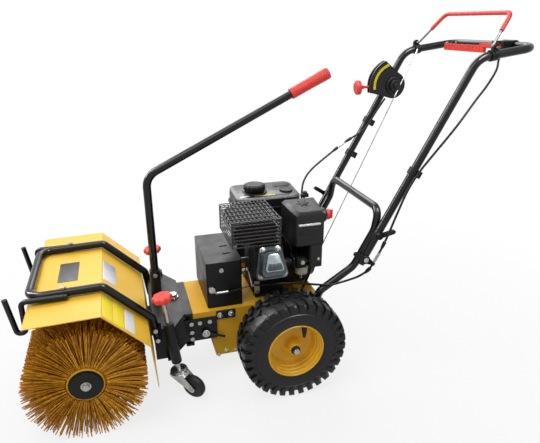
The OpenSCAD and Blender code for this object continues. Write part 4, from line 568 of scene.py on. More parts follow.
CLUTCH = [
    (745, -98, 1003), (735, -102, 980), (709, -130, 952), (653, -168, 912), (590, -200, 868),
    (520, -222, 800), (440, -226, 710), (412, -226, 676), (375, -228, 620), (340, -234, 545),
    (316, -239, 490), (300, -239, 452), (282, -237, 412), (262, -231, 372), (238, -216, 344),
    (212, -204, 329), (180, -200, 321), (145, -197, 316), (105, -172, 311), (60, -140, 306),
    (10, -126, 306), (-60, -118, 307), (-84, -112, 306), (-120, -108, 299), (-160, -104, 291),
]
THROTTLE = [
    (500, 184, 833), (470, 185, 790), (440, 184, 745), (414, 186, 716), (385, 186, 700),
    (340, 182, 677), (288, 170, 648), (208, 148, 600), (172, 130, 565), (158, 112, 530),
    (152, 96, 480), (148, 84, 430), (138, 79, 406), (126, 78, 400), (118.4, 78, 400),
]
DRIVE_START, DRIVE_END, DRIVE_STEPS = Vector((618, 187.5, 1002)), Vector((132, -16, 250)), 24
DRIVE = [DRIVE_START.lerp(DRIVE_END, i / DRIVE_STEPS) for i in range(DRIVE_STEPS + 1)]
CABLE_R, WIRE_R, ROD_R = 3.5, 1.7, 2.7
ROD_POINTS = 6  # points of the drive wire that its thicker rod covers
CLUTCH_BARE = -86  # the clutch cable is bare wire in front of this
BARE_SHARE = 0.5  # radius of the bare wire
RIDGES, RIDGE_SHARE, GROOVE_SHARE = 5, 0.8, 0.88  # of an adjuster's barrel
BOOT_LIP, BOOT_MOUTH_SHARE, BOOT_WAIST_SHARE, BOOT_WAIST_AT_SHARE = 2, 0.7, 0.95, 0.6
BOOT_PLAY, BARREL_PLAY = 0.3, 0.2  # round the cable
# Where each cable's bend between the machine and the handle starts and ends
CLUTCH_BEND = (212, -204, 329), (340, -234, 545)
THROTTLE_BEND = (165, 121, 548), (400, 186, 708)
DRIVE_BEND = (145, -10, 270), (590, 176, 960)
# Place, length, radius and kind of each fitting
CLUTCH_FITTINGS = [
    ((282, -237, 412), 36, 4.6, "barrel"),
    ((260, -230, 369), 24, 6.2, "boot"),
    ((299, -239, 450), 24, 5.8, "boot"),
]
THROTTLE_FITTINGS = [
    ((364, 184, 690), 26, 5.6, "boot"),
    ((336, 181, 675), 30, 4.4, "barrel"),
    ((308, 175, 660), 24, 5.6, "boot"),
]


def boot(s, at, axis, length, radius, r):
    waist = (length * BOOT_WAIST_AT_SHARE, radius * BOOT_WAIST_SHARE)
    profile = [(0, radius * BOOT_MOUTH_SHARE), (BOOT_LIP, radius), waist, (length, r + BOOT_PLAY)]
    s.lathe(at, axis, profile, "black_plastic", n=20)


def barrel(s, at, axis, length, radius, r):
    """An adjuster's barrel, with ridges."""
    profile = [(0, r + BARREL_PLAY)]
    for k in range(RIDGES):
        start, stop = length * k / RIDGES, length * (k + RIDGE_SHARE) / RIDGES
        profile += [(start, radius), (stop, radius), (stop, radius * GROOVE_SHARE)]
    s.lathe(at, axis, profile + [(length, radius * GROOVE_SHARE)], "zinc", n=20)


def cable(name, node, route, r, mat, start, end, fittings=(), per=CABLE_STEPS, bare=None, rod=0):
    """A cable along its route, bare in front of a place and with a thicker rod over its first points."""
    s = Shape()
    path = smooth_path(route, per)
    if rod:
        s.tube(path[:rod], ROD_R, "zinc")
    s.tube(path, [r if bare is None or q.x > bare else r * BARE_SHARE for q in path], mat)
    for place, length, radius, kind in fittings:
        i = min(range(1, len(path) - 1), key=lambda q: (path[q] - Vector(place)).length)
        t = (path[i + 1] - path[i - 1]).normalized()
        build = boot if kind == "boot" else barrel
        build(s, path[i] - t * length / 2, t, length, radius, r)
    o = s.make(name, replaces=node)
    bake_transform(o)


cable("clutch_line", "clutch_cable", CLUTCH, CABLE_R, "cable_skin", *CLUTCH_BEND, CLUTCH_FITTINGS,
      bare=CLUTCH_BARE)
cable("throttle_line", "throttle_cable", THROTTLE, CABLE_R, "cable_skin", *THROTTLE_BEND, THROTTLE_FITTINGS)
cable("drive_line", "drive_wire", DRIVE, WIRE_R, "wire", *DRIVE_BEND, per=1, rod=ROD_POINTS)


# Plain plates on the hood's top and slope

HOOD_TOP = Vector((-734, 0, 377)), Vector((192, 0, 5)).normalized()  # a point and the way back over the face
HOOD_SLOPE = Vector((-542, 0, 382)), Vector((120, 0, -117)).normalized()
HOOD_PLATE_T, HOOD_PLATE_LIFT = 0.7, 0.05
# Tag, face, start and stop along it, left and right edge, corner radius and material
HOOD_PLATES = (
    ("black", HOOD_TOP, 67, 125, -65, 68, 4, "plate_black"),
    ("silver", HOOD_SLOPE, 6, 54, -70, 65, 4, "plate_silver"),
    ("front_a", HOOD_SLOPE, 5, 38, -292, -172, 2, "plate_yellow"),
    ("front_b", HOOD_SLOPE, 41, 75, -292, -170, 2, "plate_yellow"),
    ("front_c", HOOD_SLOPE, 80, 113, -288, -182, 2, "plate_white"),
)
for tag, (origin, along), start, stop, left, right, r, mat in HOOD_PLATES:
    plate = Shape()
    corner = origin + along * start + RIGHT * left + along.cross(RIGHT) * HOOD_PLATE_LIFT
    plate.plate(corner, along, RIGHT, stop - start, right - left, r, HOOD_PLATE_T, mat)
    plate.make("hood_plate_" + tag, "head")


# Throttle console: mark and hub cap

CONSOLE = Vector((520, 166, 881))  # middle of the lever's hub
MARK_INNER_R, MARK_OUTER_R = 70, 79
MARK_START, MARK_STOP = 108, 190  # in degrees
MARK_STEPS = 24
MARK_BACK, MARK_FACE = 165.9, 165.0
HUB_CAP = [(0, 30), (5, 30), (7, 28), (7, 20), (16, 20), (18, 18), (18, 9), (24, 9), (25, 7.5)]


def console_mark():
    s = Shape()
    sweep = MARK_STOP - MARK_START
    turns = [radians(MARK_START + sweep * k / MARK_STEPS) for k in range(MARK_STEPS + 1)]
    band = [(MARK_OUTER_R * cos(q), MARK_OUTER_R * sin(q)) for q in turns]
    band += [(MARK_INNER_R * cos(q), MARK_INNER_R * sin(q)) for q in reversed(turns)]
    n = len(band)
    verts = [(CONSOLE.x + x, y, CONSOLE.z + z) for y in (MARK_BACK, MARK_FACE) for x, z in band]
    faces = [(k, (k + 1) % n, n + (k + 1) % n, n + k) for k in range(n)]
    faces += [(n + k, n + k + 1, n + n - 2 - k, n + n - 1 - k) for k in range(MARK_STEPS)]
    s.add(verts, faces, "yellow_mark")
    s.lathe(CONSOLE, LEFT, HUB_CAP, "dark_plastic")
    s.make("console_mark", "handle")


console_mark()


# Wing nuts on the fold bolts

FOLD_X, FOLD_Y, FOLD_Z = 253, 218.95, 400
WINGS = ((147, 50), (-34, 38))  # turn in degrees and reach of each wing
WING_T, WING_BEVEL = 5, 1.4
# Half outline of a wing: distance out from the bolt or from the tip, and half width
WING_ROOT, WING_TIP = [(4, 10), (16, 9)], [(-7, 7.5), (-2, 5.5), (0, 2)]
WAIST_AT_SHARE, WAIST_HALF = 0.6, 6.5
WING_BOSS = [(0, 14), (5, 14), (6, 13), (6, 9.8), (5, 9.8)]


def fold_wing(tag, side):
    s = Shape()
    at = (FOLD_X, side * FOLD_Y, FOLD_Z)
    for degrees, reach in WINGS:
        c, k = cos(radians(degrees)), sin(radians(degrees))
        half = WING_ROOT + [(reach * WAIST_AT_SHARE, WAIST_HALF)]
        half += [(reach + along, aside) for along, aside in WING_TIP]
        edge = half + [(along, -aside) for along, aside in reversed(half)]
        edge = [(c * along - k * aside, k * along + c * aside) for along, aside in reversed(edge)]
        s.prism(at, (-side, 0, 0), UP, edge, WING_T, "black_plastic", WING_BEVEL)
    s.lathe(at, (0, side, 0), WING_BOSS, "black_plastic", n=36)
    s.make("fold_wing_" + tag, "machine")


for tag, side in SIDES:
    fold_wing(tag, side)


# Wheels: lugged tyres, dished rims, valves and hub rings

WHEEL_Y, AXLE_Z = 247.5, 165
HUB_Y = 293.05
# Profiles of distance out from the wheel's middle and radius
TYRE = [
    (-40, 82), (-46, 84), (-50, 89), (-52, 96), (-52.4, 110), (-52, 124), (-51, 136), (-47, 149),
    (-40, 154.5), (-20, 157), (0, 157.5), (20, 157), (40, 154.5), (48, 149), (52.5, 138), (54.6, 128.5),
    (57, 126.4), (57.2, 125), (55.2, 123), (55.8, 110), (55.2, 98), (54, 91.5), (52.8, 89.4), (50, 88.8),
    (46, 87), (40, 82),
]
RIM = [
    (-49.5, 88), (-47, 87.6), (-44, 86), (-40, 81.4), (40, 81.4), (45, 86), (50, 88.4), (53.4, 88.8),
    (55, 87.6), (55.2, 86), (54, 84.6), (51, 83.8), (45, 83), (42.5, 80.6), (34, 79.4), (31.5, 76.6),
    (21, 75.6), (18.5, 73), (6, 71.5), (0, 67), (-2.5, 58), (-2, 44), (0.5, 32), (3, 25.5), (8, 20.6),
    (14, 19.3), (44.6, 19.1), (45.5, 18.4), (45.5, 13), (-49, 13), (-49, 18.6), (-8, 19), (-7, 60),
    (-6, 72), (-14, 78), (-44, 79), (-47.5, 84), (-49.5, 85),
]
HUB_RING = [(0, 14.9), (2.6, 14.9), (3.3, 14.3), (3.4, 9.8)]
VALVE = [
    (33.4, 275, 235), (32.6, 277, 228), (31.4, 280.5, 219), (30.2, 284, 210), (29.6, 285.4, 203),
    (29.4, 286, 200),
]
VALVE_RADII = [9, 8.6, 7.6, 6.2, 4.6, 4.2]
LUGS = 32  # in each row
STAGGER = 0.5  # of a pitch, between the rows
# Stations of a shoulder lug: floor place and radius, crown place and radius, half width
SHOULDER = (
    (53.4, 130, 55.6, 130.4, 6.4), (52, 138, 56, 139.5, 7.4), (49, 146, 55.6, 152, 8.2),
    (44, 149, 52.5, 161.5, 8.8), (34, 151.5, 36, 164.6, 8.4), (20, 153, 20, 165, 7.4),
)
SHOULDER_OUT, SHOULDER_IN = 56.0, 52.4  # how far the lugs reach on the outer and inner wall
LEAD_START, LEAD_SHARE = 54, 0.34  # shoulder lugs slant from the wall inwards
MIDDLE_AT, MIDDLE_HALF, MIDDLE_FLOOR_R, MIDDLE_CROWN_R = 7, 7.5, 153.4, 165
MIDDLE_WIDTH, MIDDLE_LEAD_SHARE, MIDDLE_STAGGER = 6.6, 0.7, 0.6
LUG_FOOT, TREAD_R = 1.3, 158  # a lug's foot is so much wider, measured at the tread's radius


def lug(tyre, centre, out, stations, turn):
    """A lug lofted over stations of (floor place and radius, crown place and radius, half width, lead)."""
    a, b = side_axes(out)
    verts, faces = [], []
    for floor_at, floor_r, crown_at, crown_r, half, lead in stations:
        for at, r, h in ((floor_at, floor_r, half + LUG_FOOT), (crown_at, crown_r, half)):
            for k in (-1, 1):
                q = turn + (lead + k * h) / TREAD_R
                verts.append(centre + out * at + r * (cos(q) * a + sin(q) * b))
    for o in range(0, 4 * (len(stations) - 1), 4):
        faces += [(o, o + 2, o + 6, o + 4), (o + 2, o + 3, o + 7, o + 6), (o + 3, o + 1, o + 5, o + 7)]
    o = 4 * (len(stations) - 1)
    faces += [(0, 1, 3, 2), (o, o + 2, o + 3, o + 1)]
    tyre.add(verts, faces, "tyre_rubber")


def wheel(tag, sign):
    centre, out = Vector((0, sign * WHEEL_Y, AXLE_Z)), Vector((0, sign, 0))
    tyre = Shape()
    tyre.lathe(centre, out, TYRE, "tyre_rubber", n=96, closed=True)
    pitch = 2 * pi / LUGS
    for i in range(LUGS):
        for row, reach, stagger in ((-1, SHOULDER_IN, 0), (1, SHOULDER_OUT, STAGGER)):
            stations = [
                (row * at, r, row * min(crown_at, reach), crown_r, half, (LEAD_START - at) * LEAD_SHARE)
                for at, r, crown_at, crown_r, half in SHOULDER
            ]
            lug(tyre, centre, out, stations, pitch * (i + stagger))
        side = 1 if i % 2 else -1
        stations = []
        for k in (-MIDDLE_HALF, 0, MIDDLE_HALF):
            at = side * (MIDDLE_AT + k)
            stations.append((at, MIDDLE_FLOOR_R, at, MIDDLE_CROWN_R, MIDDLE_WIDTH, MIDDLE_LEAD_SHARE * k))
        lug(tyre, centre, out, stations, pitch * (i + MIDDLE_STAGGER))
    tyre.make("tyre_lugged_" + tag, "wheels", replaces="tyre_" + tag, angle=34)

    rim = Shape()
    rim.lathe(centre, out, RIM, "rim_paint", n=96, closed=True)
    rim.make("rim_dished_" + tag, "wheels", replaces="rim_" + tag, angle=34)

    hub = Shape()
    hub.lathe((0, sign * HUB_Y, AXLE_Z), out, HUB_RING, "rubber")
    hub.tube([(x, sign * y, z) for x, y, z in VALVE], VALVE_RADII, "rubber", n=16)
    hub.make("hub_trim_" + tag, "wheels")


for tag, side in SIDES:
    wheel(tag, side)


# Air box: a chamfered body with a sloping top, a leg under it, a star knob and the switch's collar

AIR_FACE = -150  # the side that shows
AIR_FLOOR, AIR_HEIGHT, AIR_CHAMFER, AIR_SLOPE = 440, 117, 11, 0.22
AIR_PLAN = [
    (27, -58), (27, -63), (45, -141), (49, -147), (55, AIR_FACE), (134, AIR_FACE), (138.5, -148.5),
    (140, -144), (140, -58),
]
LEG_FLOOR, LEG_HEIGHT = 362, 80
LEG_PLAN = [
    (88, -58), (93, -146), (97, AIR_FACE), (131, AIR_FACE), (135, -148.5), (136, -145), (136, -58),
]
KNOB_AT, KNOB_TILT = (86, -94, 559.6), (0, 0.977, 0.215)
KNOB_POINTS, KNOB_LOBES, KNOB_R, KNOB_WAVE, KNOB_T, KNOB_BEVEL = 48, 6, 14.5, 5.5, 4, 1.2
COLLAR_AT = (134, -104, 520)
COLLAR = [(0, 22), (4, 23.5), (20, 23.5), (22, 22), (25, 20.4), (25.9, 19.4), (25.9, 12)]
AIR_BOLT_AT = (122.9, -150.1, 389)
BADGE_AT = (54, AIR_FACE, 506.4)
RIBS, RIB_X, RIB_Z, RIB_PITCH = 3, 55, 478, 6.5


def air_box():
    s = Shape()
    floor_at = (0, 0, AIR_FLOOR)
    s.prism(floor_at, BACK, RIGHT, AIR_PLAN, AIR_HEIGHT, "dark_plastic", AIR_CHAMFER, AIR_SLOPE, soft=False)
    s.prism((0, 0, LEG_FLOOR), BACK, RIGHT, LEG_PLAN, LEG_HEIGHT, "dark_plastic")
    star = []
    for k in range(KNOB_POINTS):
        q = 2 * pi * k / KNOB_POINTS
        r = KNOB_R + KNOB_WAVE * cos(KNOB_LOBES * q)
        star.append((r * cos(q), r * sin(q)))
    s.prism(KNOB_AT, BACK, KNOB_TILT, star, KNOB_T, "black_plastic", KNOB_BEVEL)
    s.lathe(COLLAR_AT, BACK, COLLAR, "dark_plastic")
    s.hexbolt(AIR_BOLT_AT, LEFT, flat=6, h=3)
    s.make("air_box_shell", "machine", replaces="air_box", angle=30)


def air_box_trim():
    """A silver strip and three ribs on the air box's face."""
    s = Shape()
    s.plate(BADGE_AT, BACK, UP, wide=73, high=7, r=3, t=1.4, mat="plate_silver")
    for k in range(RIBS):
        corner = (RIB_X, AIR_FACE, RIB_Z + RIB_PITCH * k)
        s.plate(corner, BACK, UP, wide=78, high=4, r=1.6, t=1.2, mat="dark_plastic")
    s.make("air_box_trim", "machine")


air_box()
air_box_trim()


# Carburettor: flange, body, intake, choke lever, bowl with its drain, and the fuel pipe

CARB_FLOOR, CARB_HEIGHT, CARB_BEVEL = 360, 34, 4
FLANGE_AT = (47, -98, 364)
CHOKE_AT, CHOKE_ALONG, CHOKE_UP = (60, -143, 372), (1, 0, 0.3), (-0.3, 0, 1)
CARB_PLAN = [(53, -100), (53, -139), (56, -142), (84, -142), (87, -139), (87, -100)]
INTAKE, INTAKE_RADII = [(6, -119, 377), (30, -119, 377), (48, -119, 377)], [15, 14, 15]
SCREW, SCREW_R = [(72, -142, 380), (72, -146, 380)], 7
BOWL_AT = (76, -121, 331)
BOWL = [(0, 8), (0.6, 15), (3, 19), (6, 20.4), (25, 20.4), (26, 22), (29, 22), (30, 20.2)]
DRAIN_AT = (74, -121, 331.4)
DRAIN = [(0, 6.5), (5, 6.5), (6, 4), (16, 4), (18, 2.4)]
PIPE_R = 4
PIPE = [
    (110, -120, 364), (109, -121, 348), (102, -122, 322), (92, -118, 294), (86, -104, 262), (84, -92, 240),
]


def carburettor():
    s = Shape()
    s.plate(FLANGE_AT, LEFT, UP, wide=44, high=34, r=6, t=6, mat="black_plastic")
    s.prism((0, 0, CARB_FLOOR), BACK, RIGHT, CARB_PLAN, CARB_HEIGHT, "engine_cast", CARB_BEVEL)
    s.tube(INTAKE, INTAKE_RADII, "engine_cast", n=28)
    s.tube(SCREW, SCREW_R, "zinc", n=18)
    s.plate(CHOKE_AT, CHOKE_ALONG, CHOKE_UP, wide=34, high=8, r=3, t=2.4, mat="engine_cast")
    s.lathe(BOWL_AT, UP, BOWL, "bowl", n=48)
    s.lathe(DRAIN_AT, DOWN, DRAIN, "zinc", n=20)
    s.tube(smooth_path(PIPE, LINE_STEPS), PIPE_R, "cable_skin")
    s.make("carburettor_body", "machine", replaces="carburettor", angle=34)


carburettor()


# Raised panel and bolts on the valve cover

CYLINDER = Vector((-40, 0, 345))  # middle of the cylinder's foot
LEAN = radians(70)
LEAN_COS, LEAN_SIN = cos(LEAN), sin(LEAN)
PANEL_FLOOR, PANEL_T, PANEL_BEVEL = 211.6, 8, 5
PANEL = [
    (-26, -24), (26, -24), (29, -19), (29, -12), (18, 27), (13, 31), (-13, 31), (-18, 27), (-29, -12),
    (-29, -19),
]
INNER_FLOOR, INNER_T, INNER_BEVEL = 219.4, 1.4, 1.0
INNER = [(-21, -20), (21, -20), (24, -15), (19, 2), (-19, 2), (-24, -15)]
COVER_BOLTS, COVER_BOLT_FLOOR = ((-24, 40), (24, 40), (-36, -35.5), (36, -35.5)), 184


def cyl(x, y, z):
    """A point in the cylinder's own frame: z out along its axis, y up the head's face."""
    return Vector((CYLINDER.x + x, LEAN_COS * y - LEAN_SIN * z, CYLINDER.z + LEAN_SIN * y + LEAN_COS * z))


def valve_panel():
    s = Shape()
    up_face, out = cyl(0, 1, 0) - cyl(0, 0, 0), cyl(0, 0, 1) - cyl(0, 0, 0)
    s.prism(cyl(0, 0, PANEL_FLOOR), BACK, up_face, PANEL, PANEL_T, "silver_cast", PANEL_BEVEL)
    # The inner plate is the casting darkened as painted shade
    s.prism(cyl(0, 0, INNER_FLOOR), BACK, up_face, INNER, INNER_T, "shaded_casting", INNER_BEVEL)
    for x, y in COVER_BOLTS:
        s.hexbolt(cyl(x, y, COVER_BOLT_FLOOR), out, flat=12, h=8)
    s.make("valve_panel", "machine")


valve_panel()


# Wires of the muffler guard, bent over its edges

GUARD_FRONT, GUARD_BACK, GUARD_NEAR, GUARD_TOP = -158, -3, -150, 542
LONG_WIRES, LONG_START, LONG_PITCH, LONG_R = 5, 26, 33, 1.5
EDGE_WIRES, EDGE_START, EDGE_PITCH = 13, 1.5, 12.667
END_WIRES, END_START, END_PITCH = 8, 459.5, 11.571
WIRE_THICK, WIRE_SIDES = 1.7, 10
# Points of the wires, measured from the edges that they bend over
LONG_BEND, LONG_FLAT = ((-1.6, -12), (-1.4, -3), (2, 1)), ((-120, 1.2), (-40, 1.2))
EDGE_BEND = ((10, 0.8), (2, 0.8), (-1.4, -2.4), (-1.6, -13))
END_BEND = ((-14, -1.3), (-3, -1.4), (1.6, 2.6), (1.5, 14))


def guard_wires():
    s = Shape()

    def wire(points, r):
        # The wires take the enamel with a painted highlight on their edges
        s.tube(smooth_path(points, BEND_STEPS), r, "guard_paint", n=WIRE_SIDES)

    front, back, near, top = GUARD_FRONT, GUARD_BACK, GUARD_NEAR, GUARD_TOP
    for k in range(LONG_WIRES):
        y = near + LONG_START + LONG_PITCH * k
        points = [(front + dx, y, top + dz) for dx, dz in LONG_BEND]
        points += [(x, y, top + dz) for x, dz in LONG_FLAT]
        points += [(back - dx, y, top + dz) for dx, dz in reversed(LONG_BEND)]
        wire(points, LONG_R)
    for k in range(EDGE_WIRES):
        x = front + EDGE_START + EDGE_PITCH * k
        wire([(x, near + dy, top + dz) for dy, dz in EDGE_BEND], WIRE_THICK)
    for k in range(END_WIRES):
        z = END_START + END_PITCH * k
        wire([(back + dx, near + dy, z) for dx, dy in END_BEND], WIRE_THICK)
    s.make("guard_wires", "machine")


guard_wires()


# Tank lid that rises to the right, with gauge and plain plates, and the fuel cap

LID_FLOOR, LID_HEIGHT, LID_BEVEL, LID_SLOPE, LID_R, LID_STEPS = 531, 15.5, 5, 0.085, 26, 6
LID_X0, LID_Y0, LID_X1, LID_Y1 = -93, 50, 133, 190
SEAT = 0.1  # trim is let into the lid so far
LID_TOP = LID_FLOOR + LID_HEIGHT - SEAT
LID_MIDDLE = (LID_Y0 + LID_Y1) / 2
LID_TILT = Vector((0, 1, LID_SLOPE)).normalized()
CAP_X, CAP_Y, CAP_LOBES = -15, 118, 14
# A thin black ring round the cap: painted shade of the filler's recess
CAP_SHADE_RING = [(-2, 44), (0.6, 44), (1.2, 43), (1.2, 30)]
GAUGE_AT, PAD_AT, STRIP_AT, LABEL_AT = (95, 102), (62, 142), (-26, 70), (-78, 66)
STRIP_ALONG = (1, -0.05, 0)
GAUGE = [(-2, 23), (4, 23), (6, 21.5), (6, 19), (5, 18)]
# Distance up, radius and depth of the ribs
CAP = [
    (0, 31, 0.2), (4, 32, 0.6), (6, 37, 2.4), (9, 38, 3.2), (19, 38, 3.2), (22.5, 37, 2.6),
    (25.5, 33.5, 1.2), (27.4, 27, 0.2), (28, 20, 0), (27.4, 15, 0), (27.4, 5, 0),
]


def on_lid(x, y):
    return Vector((x, y, LID_TOP + LID_SLOPE * (y - LID_MIDDLE)))


def tank_lid():
    s = Shape()
    plan = rounded(LID_X0, LID_Y0, LID_X1, LID_Y1, LID_R, LID_STEPS)
    s.prism((0, 0, LID_FLOOR), BACK, RIGHT, plan, LID_HEIGHT, "tank_plastic", LID_BEVEL, LID_SLOPE)
    # Painted shade: a black ring where the filler's recess lies
    s.lathe(on_lid(CAP_X, CAP_Y), UP, CAP_SHADE_RING, "black_plastic", n=56)
    s.lathe(on_lid(*GAUGE_AT), LID_TILT.cross(FRONT), GAUGE, "black_plastic", n=48)
    s.plate(on_lid(*PAD_AT), BACK, LID_TILT, wide=62, high=24, r=9, t=1.2, mat="black_plastic")
    s.plate(on_lid(*STRIP_AT), STRIP_ALONG, LID_TILT, wide=72, high=9, r=1, t=0.6, mat="plate_yellow")
    s.plate(on_lid(*LABEL_AT), BACK, LID_TILT, wide=34, high=15, r=7.4, t=0.6, mat="plate_white")
    s.make("tank_lid", "machine")


def fuel_cap():
    s = Shape()
    s.lathe((CAP_X, CAP_Y, LID_TOP), UP, CAP, "black_plastic", n=LOBE_STEPS * CAP_LOBES, lobes=CAP_LOBES)
    s.make("fuel_cap_ribbed", "cap", replaces="fuel_cap", angle=50)


tank_lid()
fuel_cap()


# Small engine trim: governor arm, ignition lead, cable stay and foot

GOVERNOR_AT, GOVERNOR_KNOB_AT = (112, -14, 552), (125, -4, 563)
GOVERNOR_KNOB = [(0, 9), (4, 9), (7, 7.5), (8.5, 4)]
GOVERNOR_R = 3.2
GOVERNOR_LINE = [(128, 4, 556), (136, 24, 548), (146, 58, 520), (150, 80, 486)]
IGNITION_R = 1.7
IGNITION = [
    (-22, -134, 506), (-1, -151, 488), (23, -152, 456), (33, -146, 424), (36, -132, 400), (40, -118, 392),
]
STAY_R = 2.6
STAY_PLATE_AT, STAY_CLAMP_AT = (-116, -94.6, 350), (-81, -113, 306)
STAY_BOLTS = ((-109.5, -97, 358), (-98, -97, 358))
STAY = [(-95, -98, 352), (-93, -100, 340), (-91, -104, 326), (-88.5, -109, 311), (-86, -112, 306)]
STAY_CLAMP = [(0, 4.6), (3, 4.6), (3, 3), (7, 3), (7, 4.6), (10, 4.6)]
FOOT_AT, FOOT_BOLT_AT = (-66, -56.1, 239), (-57, -59.1, 248)


def governor_arm():
    s = Shape()
    s.plate(GOVERNOR_AT, BACK, RIGHT, wide=26, high=20, r=5, t=12, mat="black_plastic")
    s.lathe(GOVERNOR_KNOB_AT, UP, GOVERNOR_KNOB, "dark_plastic", n=24)
    s.tube(smooth_path(GOVERNOR_LINE, LINE_STEPS), GOVERNOR_R, "cable_skin")
    s.make("governor_arm", "machine")


def ignition_lead():
    s = Shape()
    s.tube(smooth_path(IGNITION, CABLE_STEPS), IGNITION_R, "cable_skin")
    s.make("ignition_lead", "machine")


def cable_stay():
    """The bent rod that holds the end of the clutch cable, with its plate and bolts."""
    s = Shape()
    for at in STAY_BOLTS:
        s.hexbolt(at, LEFT, flat=8, h=4)
    s.plate(STAY_PLATE_AT, BACK, UP, wide=26, high=16, r=3, t=2.4, mat="engine_cast")
    s.tube(smooth_path(STAY, BEND_STEPS), STAY_R, "zinc", n=WIRE_SIDES)
    s.lathe(STAY_CLAMP_AT, FRONT, STAY_CLAMP, "zinc", n=18)
    s.make("cable_stay", "machine")


def engine_foot():
    s = Shape()
    s.plate(FOOT_AT, BACK, UP, wide=18, high=50, r=2, t=3, mat="bowl")
    s.hexbolt(FOOT_BOLT_AT, LEFT, flat=10, h=4)
    s.make("engine_foot", "machine")


governor_arm()
ignition_lead()
cable_stay()
engine_foot()


# Side bars and bolts of the chassis, and the washer of the lock handle

CHASSIS_Y = 112.1
BAR_FRONT, BAR_LENGTH, BAR_Z, BAR_H, BAR_R, BAR_T = -208, 62, 203, 30, 3, 5
BAR_BOLTS, BAR_BOLT_Z = (-196, -160), 219
SIDE_BOLTS = ((-180, 80), (-148, 78), (-204, 66))
LOCK_X, LOCK_Z = -245, 165
WASHER_SINK, NUT_RISE = 0.4, 1
LOCK_WASHER = [(0, 12.6), (2, 12.6), (2.6, 12), (2.6, 7.5), (1.6, 7)]


def chassis_bar(tag, side):
    s = Shape()
    y = side * CHASSIS_Y
    out = (0, side, 0)
    start = BAR_FRONT if side < 0 else BAR_FRONT + BAR_LENGTH
    s.plate((start, y, BAR_Z), (-side, 0, 0), UP, BAR_LENGTH, BAR_H, BAR_R, BAR_T, "black_paint")
    for x in BAR_BOLTS:
        s.hexbolt((x, y + side * BAR_T, BAR_BOLT_Z), out, flat=11, h=6)
    for x, z in SIDE_BOLTS:
        s.hexbolt((x, y, z), out, flat=7, h=4)
    s.make("chassis_bar_" + tag, "machine")


def lock_washer():
    """A washer and nut on the near end of the lock handle."""
    handle = frame["nodes"]["lock_handle"]
    near = min((handle.matrix_world @ Vector(corner)).y for corner in handle.bound_box) / MM
    s = Shape()
    s.lathe((LOCK_X, near + WASHER_SINK, LOCK_Z), LEFT, LOCK_WASHER, "zinc", n=36)
    s.hexbolt((LOCK_X, near - NUT_RISE, LOCK_Z), LEFT, flat=11, h=4.5, washer=False)
    s.make("lock_washer", "lock")


for tag, side in SIDES:
    chassis_bar(tag, side)
lock_washer()


# Casters: lobed knobs, ball races and wide cheeks

JOINT_AXES = {joint["child"]: Vector(joint["axis"]).normalized() for joint in frame["joints"]}
CASTER_KNOB_DROP, CASTER_KNOB_LOBES = 13, 8
# Distance up, radius and depth of the scallops
CASTER_KNOB = [
    (0, 12, 0), (3, 13, 0), (5, 20, 1.5), (7, 27, 4), (10, 30, 5), (18, 30.5, 5), (22, 29, 4.2),
    (25, 24.5, 2), (26.4, 17, 0.4), (26.8, 8, 0),
]
RACE_RISE = 46.3
RACE = [
    (0, 25), (1, 27.5), (3, 28), (4.4, 26), (5, 23.5), (6, 26), (7.4, 27), (9.6, 26), (11, 22), (11.6, 19.4),
]
CHEEK_R, CHEEK_STEPS = 12, 12  # of its round end
CHEEK_START, CHEEK_SWEEP = -150, 165  # in degrees
CHEEK_TOP = [(26, 43), (24, 46), (-24, 46), (-26, 43), (-22, 34)]
CHEEK_OUT, CHEEK_T, CASTER_BOLT_OUT = 16.1, 1.6, 17.8


def middle(node):
    low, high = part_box(node)
    return (Vector(low) + Vector(high)) / (2 * MM)


def caster(tag):
    stem = JOINT_AXES["caster_knob_" + tag]
    knob_at, hub = middle("caster_knob_" + tag), middle("caster_wheel_" + tag)
    foot = knob_at + stem * (hub - knob_at).dot(stem)  # where the stem's axis passes the wheel
    trail = (hub - foot).length
    ahead = (hub - foot).normalized()
    across = stem.cross(ahead)

    knob = Shape()
    low, n = knob_at - stem * CASTER_KNOB_DROP, LOBE_STEPS * CASTER_KNOB_LOBES
    knob.lathe(low, stem, CASTER_KNOB, "red_plastic", n, lobes=CASTER_KNOB_LOBES)
    name = "caster_knob_" + tag
    knob.make("knob_lobed_" + tag, name, replaces=name, angle=50)

    fork = Shape()
    fork.lathe(foot + stem * RACE_RISE, stem, RACE, "steel", n=48)
    turns = [radians(CHEEK_START + CHEEK_SWEEP * k / CHEEK_STEPS) for k in range(CHEEK_STEPS + 1)]
    cheek = [(trail + CHEEK_R * cos(q), CHEEK_R * sin(q)) for q in turns] + CHEEK_TOP
    for k in (-1, 1):
        fork.prism(foot + across * (k * CHEEK_OUT), ahead, stem, cheek, -CHEEK_T * k, "zinc")
        fork.hexbolt(hub + across * (k * CASTER_BOLT_OUT), across * k, flat=9, h=4)
    fork.make("fork_trim_" + tag, "caster_fork_" + tag)


for tag, _ in SIDES:
    caster(tag)


# Camera, at the place fitted to the photograph

YAW, PITCH, ROLL = 0.287, 0.369, -0.003  # in radians
FOCAL_PIXELS, PHOTO_WIDTH, SENSOR = 515, 540, 36
CAMERA_AT = (-0.4472, -1.5362, 1.0938)
CLIP_START = 0.02

